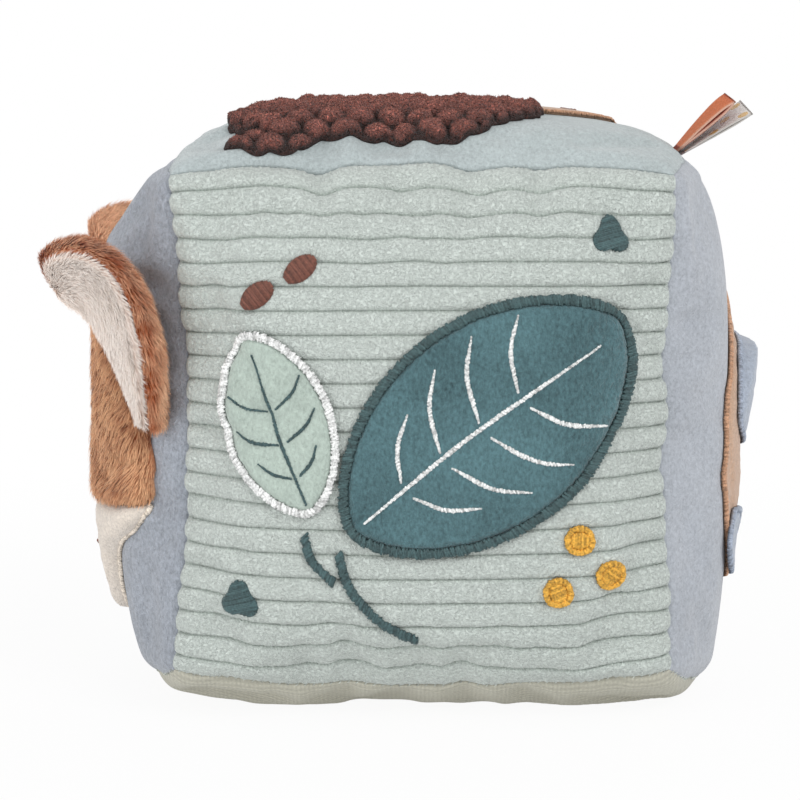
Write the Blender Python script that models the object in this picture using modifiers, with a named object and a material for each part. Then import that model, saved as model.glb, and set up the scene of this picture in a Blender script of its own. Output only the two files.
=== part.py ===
"""A soft activity block for a baby: six stuffed panels sewn into a cube round a rattle.

The front is ribbed cord with a leaf sprig on it, the left side carries an animal's head with two floppy ears,
the right side a bird with a wing flap, and the top a hedgehog. Two folded tags are sewn into a seam.

Metres, +Z up. The front faces -Y and the animal's head faces -X. The origin is the middle of the flat
patch that the block rests on.
"""

import math

import bmesh
import bpy
from mathutils import Matrix, Vector

MM = 0.001
X, Y, Z = range(3)

# The block's cover, measured at its outside
EDGE = 130 * MM
COVER = 3.5 * MM
SEAM_GAP = 0.3 * MM
FRONT_CROWN = 14 * MM
BACK_CROWN = 14 * MM
SIDE_CROWN = 16 * MM
TOP_CROWN = 12 * MM
BASE_CROWN = 12 * MM
BASE_FLAT = 0.5 * MM
CROWN_POWER = 5
PANEL_CELLS = 8

# How far the middle of a seam is drawn in from its corners, or pushed out
LEFT_BOW = 5 * MM
RIGHT_BOW = 3 * MM
UPRIGHT_BOW = 3 * MM
LEVEL_BOW = 3 * MM
SIDE_BULGE = 6 * MM
TOP_RISE = 1.5 * MM
BASE_SAG = 3.5 * MM

# The cord's ribs
RIB_PITCH = 5.8 * MM
RIB_DEPTH = 1.4 * MM
RIB_ROW_SHARES = (0, 0.2, 0.8)

# The stuffing and the rattle in it
FILLING_GAP = 0.4 * MM
CASE_RADIUS = 17 * MM
CASE_WALL = 1.2 * MM
CASE_LIP = 2.5 * MM
CASE_STEPS = 16
CASE_ARC_STEPS = 5
BEAD_RADIUS = 2.5 * MM
BEAD_RING = 4
BEAD_GAP = 0.3 * MM

# Fabric shapes sewn on the panels
PATCH_GAP = 0.4 * MM
PADDED_STEPS = 2
PLUSH = 1.6 * MM
FLEECE = 2.6 * MM
THREAD = 1.2 * MM
PATCH_PART = 0.4 * MM
OVERRUN = 2 * MM
CURVE_STEPS = 3

# The leaf sprig on the front
FRONT_STEPS = 2
LEAF_LENGTH = 84 * MM
LEAF_WIDTH = 50 * MM
LEAF_LEAN = math.radians(38)
LEAF_PLACE_SHARES = (0.25, 0.02)
LEAF_BORDER = 2.2 * MM
SMALL_LEAF_LENGTH = 46 * MM
SMALL_LEAF_WIDTH = 25 * MM
SMALL_LEAF_LEAN = math.radians(110)
SMALL_LEAF_PLACE_SHARES = (-0.55, 0.03)
SMALL_LEAF_BORDER = 1.7 * MM
LEAF_POINT_SHARE = 0.35
LEAF_POINTS = 24
STEM_WIDTH = 1.8 * MM
STEM_PATH_SHARES = ((-0.32, -0.47), (-0.28, -0.6), (-0.17, -0.73), (-0.02, -0.82))
SMALL_STEM_PATH_SHARES = ((-0.45, -0.4), (-0.42, -0.5), (-0.34, -0.58))
BERRY_RADIUS = 3.8 * MM
BERRY_PLACE_SHARES = ((0.6, -0.42), (0.72, -0.56), (0.52, -0.62))
SEED_LENGTH = 9 * MM
SEED_WIDTH = 5.5 * MM
SEED_PLACE_SHARES = ((-0.62, 0.52), (-0.46, 0.62))
CLOVER_RADIUS = 5 * MM
CLOVER_PLACE_SHARES = ((-0.7, -0.66), (0.72, 0.74))
CLOVER_LOBES = 3
CLOVER_DEPTH_SHARE = 0.34
ROUND_POINTS = 14

# The hedgehog on the top, with shares of the block's half edge
HEDGEHOG_BACK_SHARES = (
    (0.46, -0.44), (0.2, -0.82), (-0.2, -0.83), (-0.4, -0.84), (-0.5, -0.92), (-0.66, -0.93),
    (-0.79, -0.85), (-0.66, -0.71), (-0.8, -0.55), (-0.78, -0.1), (-0.62, 0.32), (-0.28, 0.6), (0.12, 0.58),
    (0.4, 0.34), (0.5, 0.04), (0.42, -0.2),
)
HEDGEHOG_FACE_SHARES = (
    (0.54, 0.22), (0.47, 0.4), (0.3, 0.58), (0.34, 0.7), (0.52, 0.73), (0.68, 0.72), (0.78, 0.68),
    (0.8, 0.59), (0.74, 0.42), (0.66, 0.28),
)
HEDGEHOG_NOSE_RADIUS = 3.4 * MM
HEDGEHOG_NOSE_SHARES = (0.88, 0.7)

# The animal's head on the left side, with shares of the block's half edge, for its half at +Y
HEAD_HALF_SHARES = (
    (0, 0.56), (0.3, 0.53), (0.55, 0.4), (0.69, 0.22), (0.75, 0.06), (0.8, -0.08), (0.87, -0.2),
    (0.89, -0.31), (0.72, -0.345), (0.36, -0.36), (0, -0.37),
)
MUZZLE_HALF_SHARES = (
    (0, -0.385), (0.36, -0.375), (0.72, -0.36), (0.87, -0.35), (0.74, -0.46), (0.52, -0.58), (0.4, -0.72),
    (0.24, -0.84), (0, -0.88),
)
HEAD_CENTRE_SHARE = -0.12
HEAD_RADIUS_SHARES = (1.0, 0.82)
HEAD_RISE = 4.5 * MM
HEAD_EDGE = 2.2 * MM
HEAD_NOSE_WIDTH = 15 * MM
HEAD_NOSE_HEIGHT = 10 * MM
HEAD_NOSE_SHARE = -0.36
NOSE_THICK = 1.2 * MM

# The ears: a path that leaves the head's side, climbs and curls outwards
EAR_LENGTH = 54 * MM
EAR_PATH_SHARES = (
    (0, 0, 0), (0.02, 0.04, 0.13), (0.05, 0.07, 0.27), (0.09, 0.08, 0.415), (0.16, 0.08, 0.58),
    (0.267, 0.06, 0.7), (0.383, 0.03, 0.745), (0.5, 0, 0.72),
)
EAR_ROOT_SHARE = 0.93
EAR_ROOT_STAND = 4 * MM
EAR_HALF_WIDTH = 13 * MM
EAR_ROOT_WIDTH_SHARE = 0.3
EAR_WIDEST_SHARE = 0.6
EAR_TIP_WIDTH_SHARE = 0.45
EAR_BACK = 4.6 * MM
EAR_LINING = 3.2 * MM
EAR_LINING_WIDTH_SHARE = 0.94
EAR_EDGE_SHARE = 0.45
EAR_ROOT_THICK_SHARE = 0.55
EAR_CUP = 1.5 * MM
EAR_TURN = math.radians(22)
EAR_CELLS = (12, 5)
EAR_GAP = 0.3 * MM

# The bird on the right side, with shares of the block's half edge
BIRD_BODY_SHARES = (
    (0.4, 0.06), (0.44, -0.24), (0.38, -0.56), (0.16, -0.8), (-0.18, -0.85), (-0.5, -0.68), (-0.66, -0.36),
    (-0.6, 0), (-0.46, 0.2), (-0.22, 0.36), (-0.02, 0.43), (0.2, 0.44), (0.36, 0.3),
)
BIRD_CENTRE_SHARES = (-0.1, -0.2)
BIRD_RADIUS_SHARES = (0.62, 0.72)
BIRD_RISE = 2.4 * MM
BIRD_EDGE = 1.4 * MM
BIRD_WING_SHARES = (
    (0.26, 0.09), (0.14, -0.09), (-0.1, -0.17), (-0.34, -0.13), (-0.5, -0.05), (-0.44, 0.13), (-0.3, 0.23),
    (-0.02, 0.25), (0.2, 0.23),
)
WING_CENTRE_SHARES = (-0.12, 0.16)
WING_RADIUS_SHARES = (0.44, 0.34)
WING_RISE = 4 * MM
WING_EDGE = 1.6 * MM
WING_HINGE_SHARE = 0.255
BIRD_TAIL_SHARES = (
    (-0.26, -0.62), (-0.4, -0.76), (-0.58, -0.68), (-0.64, -0.5), (-0.5, -0.4), (-0.3, -0.44),
)
TAIL_CENTRE_SHARES = (-0.45, -0.58)
TAIL_RADIUS_SHARES = (0.24, 0.22)
TAIL_RISE = 2 * MM
BIRD_BEAK_SHARES = ((0.54, 0.26), (0.62, 0.17), (0.52, 0.16), (0.4, 0.2), (0.42, 0.32))
BIRD_EYE_RADIUS = 2.2 * MM
BIRD_EYE_SHARES = (0.14, 0.32)

# The mushroom on the back, with shares of the block's half edge
MUSHROOM_CAP_SHARES = (
    (-0.56, 0.02), (-0.5, 0.3), (-0.28, 0.52), (0, 0.6), (0.28, 0.52), (0.5, 0.3), (0.56, 0.02),
    (0.28, -0.03), (0, -0.045), (-0.28, -0.03),
)
MUSHROOM_STEM_SHARES = (
    (-0.17, -0.07), (0, -0.075), (0.17, -0.07), (0.16, -0.34), (0.22, -0.6), (0, -0.66), (-0.22, -0.6),
    (-0.16, -0.34),
)

# The two tags, sewn into the seam between the top and the right side
TAG_SHARE = 0.02
TAG_ROOT = 0.5 * MM
TAG_STATIONS = 8
TAG_WIDEST_SHARE = 0.72
TAG_ROOT_HEIGHT_SHARE = 0.3
TAG_SOLID_SHARE = 0.25
TAG_HOLE_ROOT_SHARE = 0.15
VELOUR_LENGTH = 20.5 * MM
VELOUR_WIDTH = 13 * MM
VELOUR_HEIGHT = 3.2 * MM
VELOUR_THICK = 1 * MM
VELOUR_LEAN = math.radians(43)
VELOUR_ASIDE = 1.4 * MM
SATIN_LENGTH = 21 * MM
SATIN_WIDTH = 14 * MM
SATIN_HEIGHT = 2.6 * MM
SATIN_THICK = 0.6 * MM
SATIN_LEAN = math.radians(26)
SATIN_ASIDE = -0.5 * MM
TAG_TWIST = math.radians(12)

# Worked out from the sizes above
HALF = EDGE / 2
CENTRE = Vector((0, 0, HALF + BASE_CROWN - BASE_FLAT))
SEAM_SHARE = 1 - SEAM_GAP / math.sqrt(2) / HALF
RIBS = round(EDGE / RIB_PITCH)

# Each face of the block: the axis it looks along, which way, its two own axes, and its crown
FACES = {
    "front": (Y, -1, X, Z, FRONT_CROWN),
    "back": (Y, 1, X, Z, BACK_CROWN),
    "left": (X, -1, Y, Z, SIDE_CROWN),
    "right": (X, 1, Y, Z, SIDE_CROWN),
    "top": (Z, 1, X, Y, TOP_CROWN),
    "bottom": (Z, -1, X, Y, BASE_CROWN),
}

# Colours of the fabrics, as sRGB
MINT = "#B2C4BB"
SLATE = "#8897AD"
LAVENDER = "#AAB2C4"
AQUA = "#B0C5C6"
SAGE = "#A5AC96"
OATMEAL = "#D6CDBE"
TEAL = "#3E626A"
DEEP_GREEN = "#2E4848"
PALE_GREEN = "#B0C7BB"
WHITE = "#E8E6E0"
MUSTARD = "#DEA83E"
COCOA = "#623E34"
UMBER = "#5C3A32"
TAN = "#CDA584"
FOX_BROWN = "#B07450"
CREAM = "#E8DACC"
RUST = "#C46C4E"
STUFFING = "#F0F0EC"
CASE_BLUE = "#78A0BE"


def linear(colour):
    """An sRGB colour as the linear numbers that a shader takes."""
    steps = [int(colour[at : at + 2], 16) / 255 for at in (1, 3, 5)]
    return [step / 12.92 if step <= 0.04045 else ((step + 0.055) / 1.055) ** 2.4 for step in steps]


def dye(thing, colour, roughness):
    """Gives an object its own fabric or plastic material."""
    material = bpy.data.materials.new(thing.name)
    material.use_nodes = True
    shader = material.node_tree.nodes["Principled BSDF"]
    shader.inputs["Base Color"].default_value = (*linear(colour), 1)
    shader.inputs["Roughness"].default_value = roughness
    shader.inputs["Metallic"].default_value = 0
    thing.data.materials.clear()
    thing.data.materials.append(material)


def add(name, mesh, collection, colour=None, roughness=0.9):
    """A named object made of a mesh, linked to one collection."""
    thing = bpy.data.objects.new(name, mesh)
    collection.objects.link(thing)
    if colour:
        dye(thing, colour, roughness)
    return thing


def add_cutter(name, mesh):
    """A mesh that only cuts others."""
    cutter = add(name, mesh, cutters)
    cutter.hide_render = True
    cutter.display_type = "WIRE"
    return cutter


def boolean(thing, cutter, operation):
    """Cuts an object with a cutter, or keeps what they share."""
    modifier = thing.modifiers.new(cutter.name, "BOOLEAN")
    modifier.operation = operation
    modifier.solver = "EXACT"
    modifier.object = cutter


def spread(place):
    """Moves evenly spaced grid lines, from -1 to 1, closer together near the seams."""
    return math.sin(place * math.pi / 2)


def swell(share):
    """The height of a crown, from 0 at a seam to 1 in the middle."""
    return 1 - abs(share) ** CROWN_POWER


def drawn_in(axis, side, run):
    """How far along an axis the middle of a seam lies inside its corners. The seam runs along another axis."""
    if axis == Z:
        return -TOP_RISE if side > 0 else -BASE_SAG
    if run != Z:
        return LEVEL_BOW if axis == Y else -SIDE_BULGE
    if axis == X:
        return RIGHT_BOW if side > 0 else LEFT_BOW
    return UPRIGHT_BOW


def skin(face, u, v, inset=0.0, lift=0.0):
    """A point of the cover: u and v run from -1 to 1 between the seams. inset draws it towards the block's
    centre, and lift moves it straight out of its face."""
    normal, side, a, b, crown = FACES[face]
    pinch_a = (1 - v * v) * drawn_in(normal, side, b) * u * u
    pinch_b = (1 - u * u) * drawn_in(normal, side, a) * v * v
    point = Vector()
    point[a] = u * (HALF - drawn_in(a, u, b) * (1 - v * v))
    point[b] = v * (HALF - drawn_in(b, v, a) * (1 - u * u))
    point[normal] = side * (HALF - pinch_a - pinch_b + crown * swell(u) * swell(v))
    point *= 1 - inset / HALF
    point[normal] += side * lift
    return point + CENTRE


def slab(name, cells, place):
    """A closed slab from a flat grid. place takes a point of the grid, from -1 to 1 each way, and the layer,
    0 outside and 1 inside, and gives the corner."""
    bm = bmesh.new()
    bmesh.ops.create_grid(bm, x_segments=cells[0], y_segments=cells[1], size=1)
    inner = bmesh.ops.extrude_face_region(bm, geom=bm.faces[:])["geom"]
    for corner in inner:
        if isinstance(corner, bmesh.types.BMVert):
            corner.co.z = 1
    for corner in bm.verts:
        corner.co = place(corner.co.x, corner.co.y, corner.co.z)
    bmesh.ops.triangulate(bm, faces=bm.faces[:], quad_method="LONG_EDGE")
    bmesh.ops.recalc_face_normals(bm, faces=bm.faces[:])
    mesh = bpy.data.meshes.new(name)
    bm.to_mesh(mesh)
    bm.free()
    mesh.shade_smooth()
    return mesh


def panel(face, colour):
    """One plain panel of the cover, which meets its neighbours on the mitres between them."""

    def place(x, y, layer):
        return skin(face, spread(x) * SEAM_SHARE, spread(y) * SEAM_SHARE, inset=layer * COVER)

    return add(f"{face}_panel", slab(face, (PANEL_CELLS, PANEL_CELLS), place), parts, colour)


def cord_panel(colour):
    """The front panel, ribbed from side to side. Each rib has a groove line and two shoulders."""
    rows = RIBS * len(RIB_ROW_SHARES)

    def place(x, y, layer):
        row = round((y + 1) / 2 * rows)
        rib, line = divmod(row, len(RIB_ROW_SHARES))
        v = (rib + RIB_ROW_SHARES[line]) / RIBS * 2 - 1
        groove = RIB_DEPTH if line == 0 and layer == 0 else 0
        inset = layer * COVER + groove
        return skin("front", spread(x) * SEAM_SHARE, v * SEAM_SHARE, inset=inset)

    return add("front_panel", slab("front", (PANEL_CELLS, rows), place), parts, colour)


def box_mesh(name, low, high):
    """A box between two corners."""
    bm = bmesh.new()
    bmesh.ops.create_cube(bm, size=1)
    for corner in bm.verts:
        for axis in (X, Y, Z):
            corner.co[axis] = high[axis] if corner.co[axis] > 0 else low[axis]
    mesh = bpy.data.meshes.new(name)
    bm.to_mesh(mesh)
    bm.free()
    return mesh


def flatten_base(bottom):
    """Cuts the bottom panel flat where the block rests."""
    reach = HALF + OVERRUN
    below = box_mesh("floor", (-reach, -reach, -BASE_CROWN), (reach, reach, 0))
    boolean(bottom, add_cutter("floor_cutter", below), "DIFFERENCE")


def filling_mesh():
    """The whole stuffing: a cube swollen as the cover is, just inside it."""
    bm = bmesh.new()
    bmesh.ops.create_cube(bm, size=2)
    bmesh.ops.subdivide_edges(bm, edges=bm.edges[:], cuts=PANEL_CELLS - 1, use_grid_fill=True)
    inset = COVER + FILLING_GAP
    for corner in bm.verts:
        at = [round(value, 4) for value in corner.co]
        face = next(
            name for name, (normal, side, *_) in FACES.items() if at[normal] == side
        )
        _, _, a, b, _ = FACES[face]
        corner.co = skin(face, spread(at[a]), spread(at[b]), inset=inset)
    bmesh.ops.triangulate(bm, faces=bm.faces[:], quad_method="LONG_EDGE")
    bmesh.ops.recalc_face_normals(bm, faces=bm.faces[:])
    mesh = bpy.data.meshes.new("filling")
    bm.to_mesh(mesh)
    bm.free()
    mesh.shade_smooth()
    return mesh


def filling():
    """Two halves of stuffing, parted at the rattle's middle, each with half of its pocket."""
    reach = EDGE
    half_gap = FILLING_GAP / 2
    middle = CENTRE.z
    above = box_mesh("above", (-reach, -reach, middle - half_gap), (reach, reach, middle + reach))
    below = box_mesh("below", (-reach, -reach, middle - reach), (reach, reach, middle + half_gap))
    pocket = bpy.data.meshes.new("pocket")
    bm = bmesh.new()
    bmesh.ops.create_uvsphere(
        bm,
        u_segments=CASE_STEPS,
        v_segments=CASE_STEPS // 2,
        radius=(CASE_RADIUS + FILLING_GAP) / math.cos(math.pi / CASE_STEPS),
        matrix=Matrix.Translation(CENTRE),
    )
    bm.to_mesh(pocket)
    bm.free()
    pocket_cutter = add_cutter("rattle_pocket", pocket)
    whole = filling_mesh()
    for name, cut in (("filling_lower", above), ("filling_upper", below)):
        half = add(name, whole.copy(), parts, STUFFING)
        boolean(half, add_cutter(f"{name}_cutter", cut), "DIFFERENCE")
        boolean(half, pocket_cutter, "DIFFERENCE")


def arc(radius, start, end, steps):
    """Points round the centre in the XZ plane, by their angle from +X."""
    angles = [start + (end - start) * step / steps for step in range(steps + 1)]
    return [Vector((radius * math.cos(angle), 0, radius * math.sin(angle))) for angle in angles]


def turned(name, profile, colour):
    """A shell turned about the block's upright centre line."""
    mesh = bpy.data.meshes.new(name)
    lines = [(at, at + 1) for at in range(len(profile) - 1)]
    mesh.from_pydata(profile, lines, [])
    shell = add(name, mesh, parts, colour, roughness=0.35)
    shell.location = CENTRE
    screw = shell.modifiers.new("turn", "SCREW")
    screw.steps = CASE_STEPS
    screw.render_steps = CASE_STEPS
    screw.use_merge_vertices = True
    screw.merge_threshold = 0.01 * MM
    return shell


def rattle():
    """The rattle's case, in two cups that close on a lip, and the beads that lie in it."""
    quarter = math.pi / 2
    inner = CASE_RADIUS - CASE_WALL
    half_gap = Vector((0, 0, BEAD_GAP / 2))
    lower = arc(inner, -quarter, 0, CASE_ARC_STEPS) + arc(CASE_RADIUS, 0, -quarter, CASE_ARC_STEPS)
    lower = [point - half_gap if 0 < at < len(lower) - 1 else point for at, point in enumerate(lower)]
    turned("rattle_case_lower", lower, CASE_BLUE)
    lip = math.sqrt(inner * inner - CASE_LIP * CASE_LIP) - BEAD_GAP
    lip_wall = lip - CASE_WALL
    upper = arc(CASE_RADIUS, quarter, 0, CASE_ARC_STEPS)
    upper = [point + half_gap if at else point for at, point in enumerate(upper)]
    upper += [Vector((lip, 0, BEAD_GAP / 2)), Vector((lip, 0, -CASE_LIP))]
    upper += [Vector((lip_wall, 0, -CASE_LIP)), Vector((lip_wall, 0, CASE_WALL))]
    upper += arc(inner, math.asin(CASE_LIP * 2 / inner), quarter, CASE_ARC_STEPS)
    turned("rattle_case_upper", upper, CASE_BLUE)
    reach = inner - BEAD_GAP * 2 - BEAD_RADIUS
    lean = 2 * math.asin((2 * BEAD_RADIUS + BEAD_GAP) / (2 * reach))
    places = [Vector((0, 0, -reach))]
    for number in range(BEAD_RING):
        turn = 2 * math.pi * number / BEAD_RING
        flat = Vector((math.cos(turn), math.sin(turn), 0))
        places.append(flat * reach * math.sin(lean) - Vector((0, 0, reach * math.cos(lean))))
    ball = bpy.data.meshes.new("bead")
    bm = bmesh.new()
    bmesh.ops.create_icosphere(bm, subdivisions=2, radius=BEAD_RADIUS)
    bm.to_mesh(ball)
    bm.free()
    ball.shade_smooth()
    carrier = empty("bead_slide", CENTRE)
    for number, place in enumerate(places, 1):
        bead = add(f"rattle_bead_{number}", ball.copy(), parts, MUSTARD, roughness=0.3)
        bead.parent = carrier
        bead.location = place


def empty(name, place):
    """The frame of a moving body, at its hinge."""
    frame = bpy.data.objects.new(name, None)
    frame.location = place
    frame.empty_display_size = OVERRUN
    parts.objects.link(frame)
    return frame


def carry(thing, frame):
    """Hangs a piece that was made in place on a moving body's frame."""
    thing.data.transform(Matrix.Translation(-frame.location))
    thing.parent = frame


def between(points, share):
    """A point on the smooth curve through points, with share from 0 at the first to 1 at the last."""
    spans = len(points) - 1
    span = min(int(share * spans), spans - 1)
    t = share * spans - span
    start, end = points[span], points[span + 1]
    before = points[span - 1] if span else start * 2 - end
    after = points[span + 2] if span + 2 <= spans else end * 2 - start
    bend = before * 2 - start * 5 + end * 4 - after
    twist = start * 3 - before - end * 3 + after
    return (start * 2 + (end - before) * t + bend * t * t + twist * t * t * t) / 2


def on_face(shares):
    """A place on a face, from shares of the block's half edge."""
    return Vector(shares) * HALF


def loop_through(places):
    """A smooth closed outline through hand-placed points."""
    ring = [places[-1], *places, places[0], places[1]]
    count = len(places)
    outline = []
    for number in range(count):
        four = ring[number : number + 4]
        for step in range(CURVE_STEPS):
            outline.append(between(four, (1 + step / CURVE_STEPS) / 3))
    return outline


def mirrored(half):
    """A closed run of points from the +Y half of an outline, whose first and last points lie on the middle."""
    return half + [Vector((-point.x, point.y)) for point in reversed(half[1:-1])]


def oval(centre, length, width, lean=0.0, points=ROUND_POINTS, sharp_share=0.0):
    """An oval outline, or a leaf's with sharp_share above 0."""
    outline = []
    for number in range(points):
        turn = 2 * math.pi * number / points
        rise = math.sin(turn)
        along = length / 2 * math.cos(turn)
        across = width / 2 * rise * abs(rise) ** sharp_share
        outline.append(centre + Matrix.Rotation(lean, 2) @ Vector((along, across)))
    return outline


def clover(centre):
    """A small outline with round lobes."""
    outline = []
    points = ROUND_POINTS + CLOVER_LOBES * 4
    for number in range(points):
        turn = 2 * math.pi * number / points
        notch = CLOVER_DEPTH_SHARE * (1 + math.cos(CLOVER_LOBES * (turn - math.pi / 2) + math.pi)) / 2
        radius = CLOVER_RADIUS * (1 - notch)
        outline.append(centre + radius * Vector((math.cos(turn), math.sin(turn))))
    return outline


def grown(outline, distance):
    """An outline moved out by a distance, or in by a negative one."""
    count = len(outline)
    moved = []
    for number, point in enumerate(outline):
        before = (point - outline[number - 1]).normalized()
        after = (outline[(number + 1) % count] - point).normalized()
        along = (before + after).normalized()
        square = max(along.dot(after), 0.5)
        moved.append(point + Vector((along.y, -along.x)) * distance / square)
    return moved


def band(path, width):
    """The outline of a strip that follows a path."""
    count = (len(path) - 1) * CURVE_STEPS * 2
    line = [between(path, number / count) for number in range(count + 1)]
    left, right = [], []
    for number, point in enumerate(line):
        along = line[min(number + 1, count)] - line[max(number - 1, 0)]
        across = Vector((-along.y, along.x)).normalized() * width / 2
        left.append(point + across)
        right.append(point - across)
    return right + left[::-1]


def prism(name, loops, depth):
    """A mesh extruded both ways from flat outlines. Outlines after the first are holes in it."""
    curve = bpy.data.curves.new(name, "CURVE")
    curve.dimensions = "2D"
    curve.fill_mode = "BOTH"
    curve.extrude = depth / 2
    for loop in loops:
        spline = curve.splines.new("POLY")
        spline.points.add(len(loop) - 1)
        for point, place in zip(spline.points, loop):
            point.co = (place.x, place.y, 0, 1)
        spline.use_cyclic_u = True
    holder = bpy.data.objects.new(name, curve)
    parts.objects.link(holder)
    graph = bpy.context.evaluated_depsgraph_get()
    mesh = bpy.data.meshes.new_from_object(holder.evaluated_get(graph))
    bm = bmesh.new()
    bm.from_mesh(mesh)
    bmesh.ops.remove_doubles(bm, verts=bm.verts[:], dist=0.001 * MM)
    bmesh.ops.recalc_face_normals(bm, faces=bm.faces[:])
    bm.to_mesh(mesh)
    bm.free()
    bpy.data.objects.remove(holder)
    bpy.data.curves.remove(curve)
    return mesh


def face_matrix(face, distance):
    """Turns a flat outline onto a face, at a distance from the block's centre."""
    normal, side, a, b, _ = FACES[face]
    turn = Matrix.Identity(4)
    for column, axis in enumerate((a, b)):
        for row in range(3):
            turn[row][column] = 1 if row == axis else 0
    third = turn.col[0].xyz.cross(turn.col[1].xyz)
    for row in range(3):
        turn[row][2] = third[row]
    place = CENTRE.copy()
    place[normal] += side * distance
    return Matrix.Translation(place) @ turn


def level(thickness):
    """The thickness of a flat patch."""
    return lambda a, b: thickness


def dome(centre, radii, edge, rise):
    """The thickness of a padded patch, from its edge to its middle."""

    def thickness(a, b):
        off = ((a - centre.x) / radii.x) ** 2 + ((b - centre.y) / radii.y) ** 2
        return edge + rise * math.sqrt(max(0.0, 1 - off))

    return thickness


def lines_over(low, high, split):
    """The panel's own grid lines that cover a stretch of its face, with each cell of the grid split."""
    inside = HALF - LEFT_BOW
    first = min((low - OVERRUN) / HALF, (low - OVERRUN) / inside)
    last = max((high + OVERRUN) / HALF, (high + OVERRUN) / inside)
    count = PANEL_CELLS * split
    lines = [spread(number / count * 2 - 1) * SEAM_SHARE for number in range(count + 1)]
    start = max([number for number, line in enumerate(lines) if line <= first], default=0)
    end = min([number for number, line in enumerate(lines) if line >= last], default=count)
    return lines[start : end + 1]


def patch(name, face, loops, thickness, colour, under=level(0), roughness=0.9, split=1):
    """A fabric shape sewn on a face: a slab that follows the crown, cut to its outlines. under is what
    already lies below it, and split makes the slab finer than the panel."""
    crown = FACES[face][4]
    lines = []
    for axis in (0, 1):
        places = [point[axis] for point in loops[0]]
        lines.append(lines_over(min(places), max(places), split))
    cells = [len(line) - 1 for line in lines]

    def place(x, y, layer):
        u = lines[0][round((x + 1) / 2 * cells[0])]
        v = lines[1][round((y + 1) / 2 * cells[1])]
        lift = PATCH_GAP + under(u * HALF, v * HALF)
        if layer == 0:
            lift += thickness(u * HALF, v * HALF)
        return skin(face, u, v, lift=lift)

    shape = add(name, slab(name, cells, place), parts, colour, roughness)
    cutter = add_cutter(f"{name}_outline", prism(name, loops, 2 * crown + EDGE / 2))
    cutter.matrix_world = face_matrix(face, HALF + crown / 2)
    boolean(shape, cutter, "INTERSECT")
    return shape


def leaf_sprig():
    """The picture on the front: two leaves with satin-stitched edges, a stem, berries, seeds and clovers."""
    leaves = (
        ("leaf_large", LEAF_PLACE_SHARES, LEAF_LENGTH, LEAF_WIDTH, LEAF_LEAN, LEAF_BORDER, TEAL, DEEP_GREEN),
        (
            "leaf_small", SMALL_LEAF_PLACE_SHARES, SMALL_LEAF_LENGTH, SMALL_LEAF_WIDTH, SMALL_LEAF_LEAN,
            SMALL_LEAF_BORDER, PALE_GREEN, WHITE,
        ),
    )
    for name, shares, length, width, lean, border, colour, thread in leaves:
        outline = oval(on_face(shares), length, width, lean, LEAF_POINTS, LEAF_POINT_SHARE)
        patch(name, "front", [outline], level(PLUSH), colour, split=FRONT_STEPS)
        ring = [grown(outline, PATCH_PART + border), grown(outline, PATCH_PART)]
        patch(f"{name}_border", "front", ring, level(THREAD + PLUSH), thread, split=FRONT_STEPS)
    stems = (("stem_large", STEM_PATH_SHARES), ("stem_small", SMALL_STEM_PATH_SHARES))
    for name, path in stems:
        strip = band([on_face(shares) for shares in path], STEM_WIDTH)
        patch(name, "front", [strip], level(THREAD), DEEP_GREEN, split=FRONT_STEPS)
    for number, shares in enumerate(BERRY_PLACE_SHARES, 1):
        disc = oval(on_face(shares), BERRY_RADIUS * 2, BERRY_RADIUS * 2)
        patch(f"berry_{number}", "front", [disc], level(THREAD), MUSTARD, split=FRONT_STEPS)
    for number, shares in enumerate(SEED_PLACE_SHARES, 1):
        seed = oval(on_face(shares), SEED_LENGTH, SEED_WIDTH, LEAF_LEAN)
        patch(f"seed_{number}", "front", [seed], level(THREAD), COCOA, split=FRONT_STEPS)
    for number, shares in enumerate(CLOVER_PLACE_SHARES, 1):
        outline = clover(on_face(shares))
        patch(f"clover_{number}", "front", [outline], level(THREAD), DEEP_GREEN, split=FRONT_STEPS)


def hedgehog():
    """The picture on the top: a fleece back, a plush face and an embroidered nose."""
    back = loop_through([on_face(shares) for shares in HEDGEHOG_BACK_SHARES])
    patch("hedgehog_back", "top", [back], level(FLEECE), UMBER)
    face = loop_through([on_face(shares) for shares in HEDGEHOG_FACE_SHARES])
    patch("hedgehog_face", "top", [face], level(PLUSH), TAN)
    nose = oval(on_face(HEDGEHOG_NOSE_SHARES), HEDGEHOG_NOSE_RADIUS * 2, HEDGEHOG_NOSE_RADIUS * 2)
    patch("hedgehog_nose", "top", [nose], level(THREAD), COCOA)


def head():
    """The animal's head on the left side: padded fur above, a plush muzzle below, and a nose on them."""
    centre = on_face((0, HEAD_CENTRE_SHARE))
    relief = dome(centre, on_face(HEAD_RADIUS_SHARES), HEAD_EDGE, HEAD_RISE)
    fur = loop_through(mirrored([on_face(shares) for shares in HEAD_HALF_SHARES]))
    patch("head_fur", "left", [fur], relief, FOX_BROWN, split=PADDED_STEPS)
    muzzle = loop_through(mirrored([on_face(shares) for shares in MUZZLE_HALF_SHARES]))
    patch("muzzle", "left", [muzzle], relief, CREAM, split=PADDED_STEPS)
    nose = oval(on_face((0, HEAD_NOSE_SHARE)), HEAD_NOSE_WIDTH, HEAD_NOSE_HEIGHT)

    def below(a, b):
        return relief(a, b) + PATCH_GAP

    patch("head_nose", "left", [nose], level(NOSE_THICK), COCOA, under=below, split=PADDED_STEPS)


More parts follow.
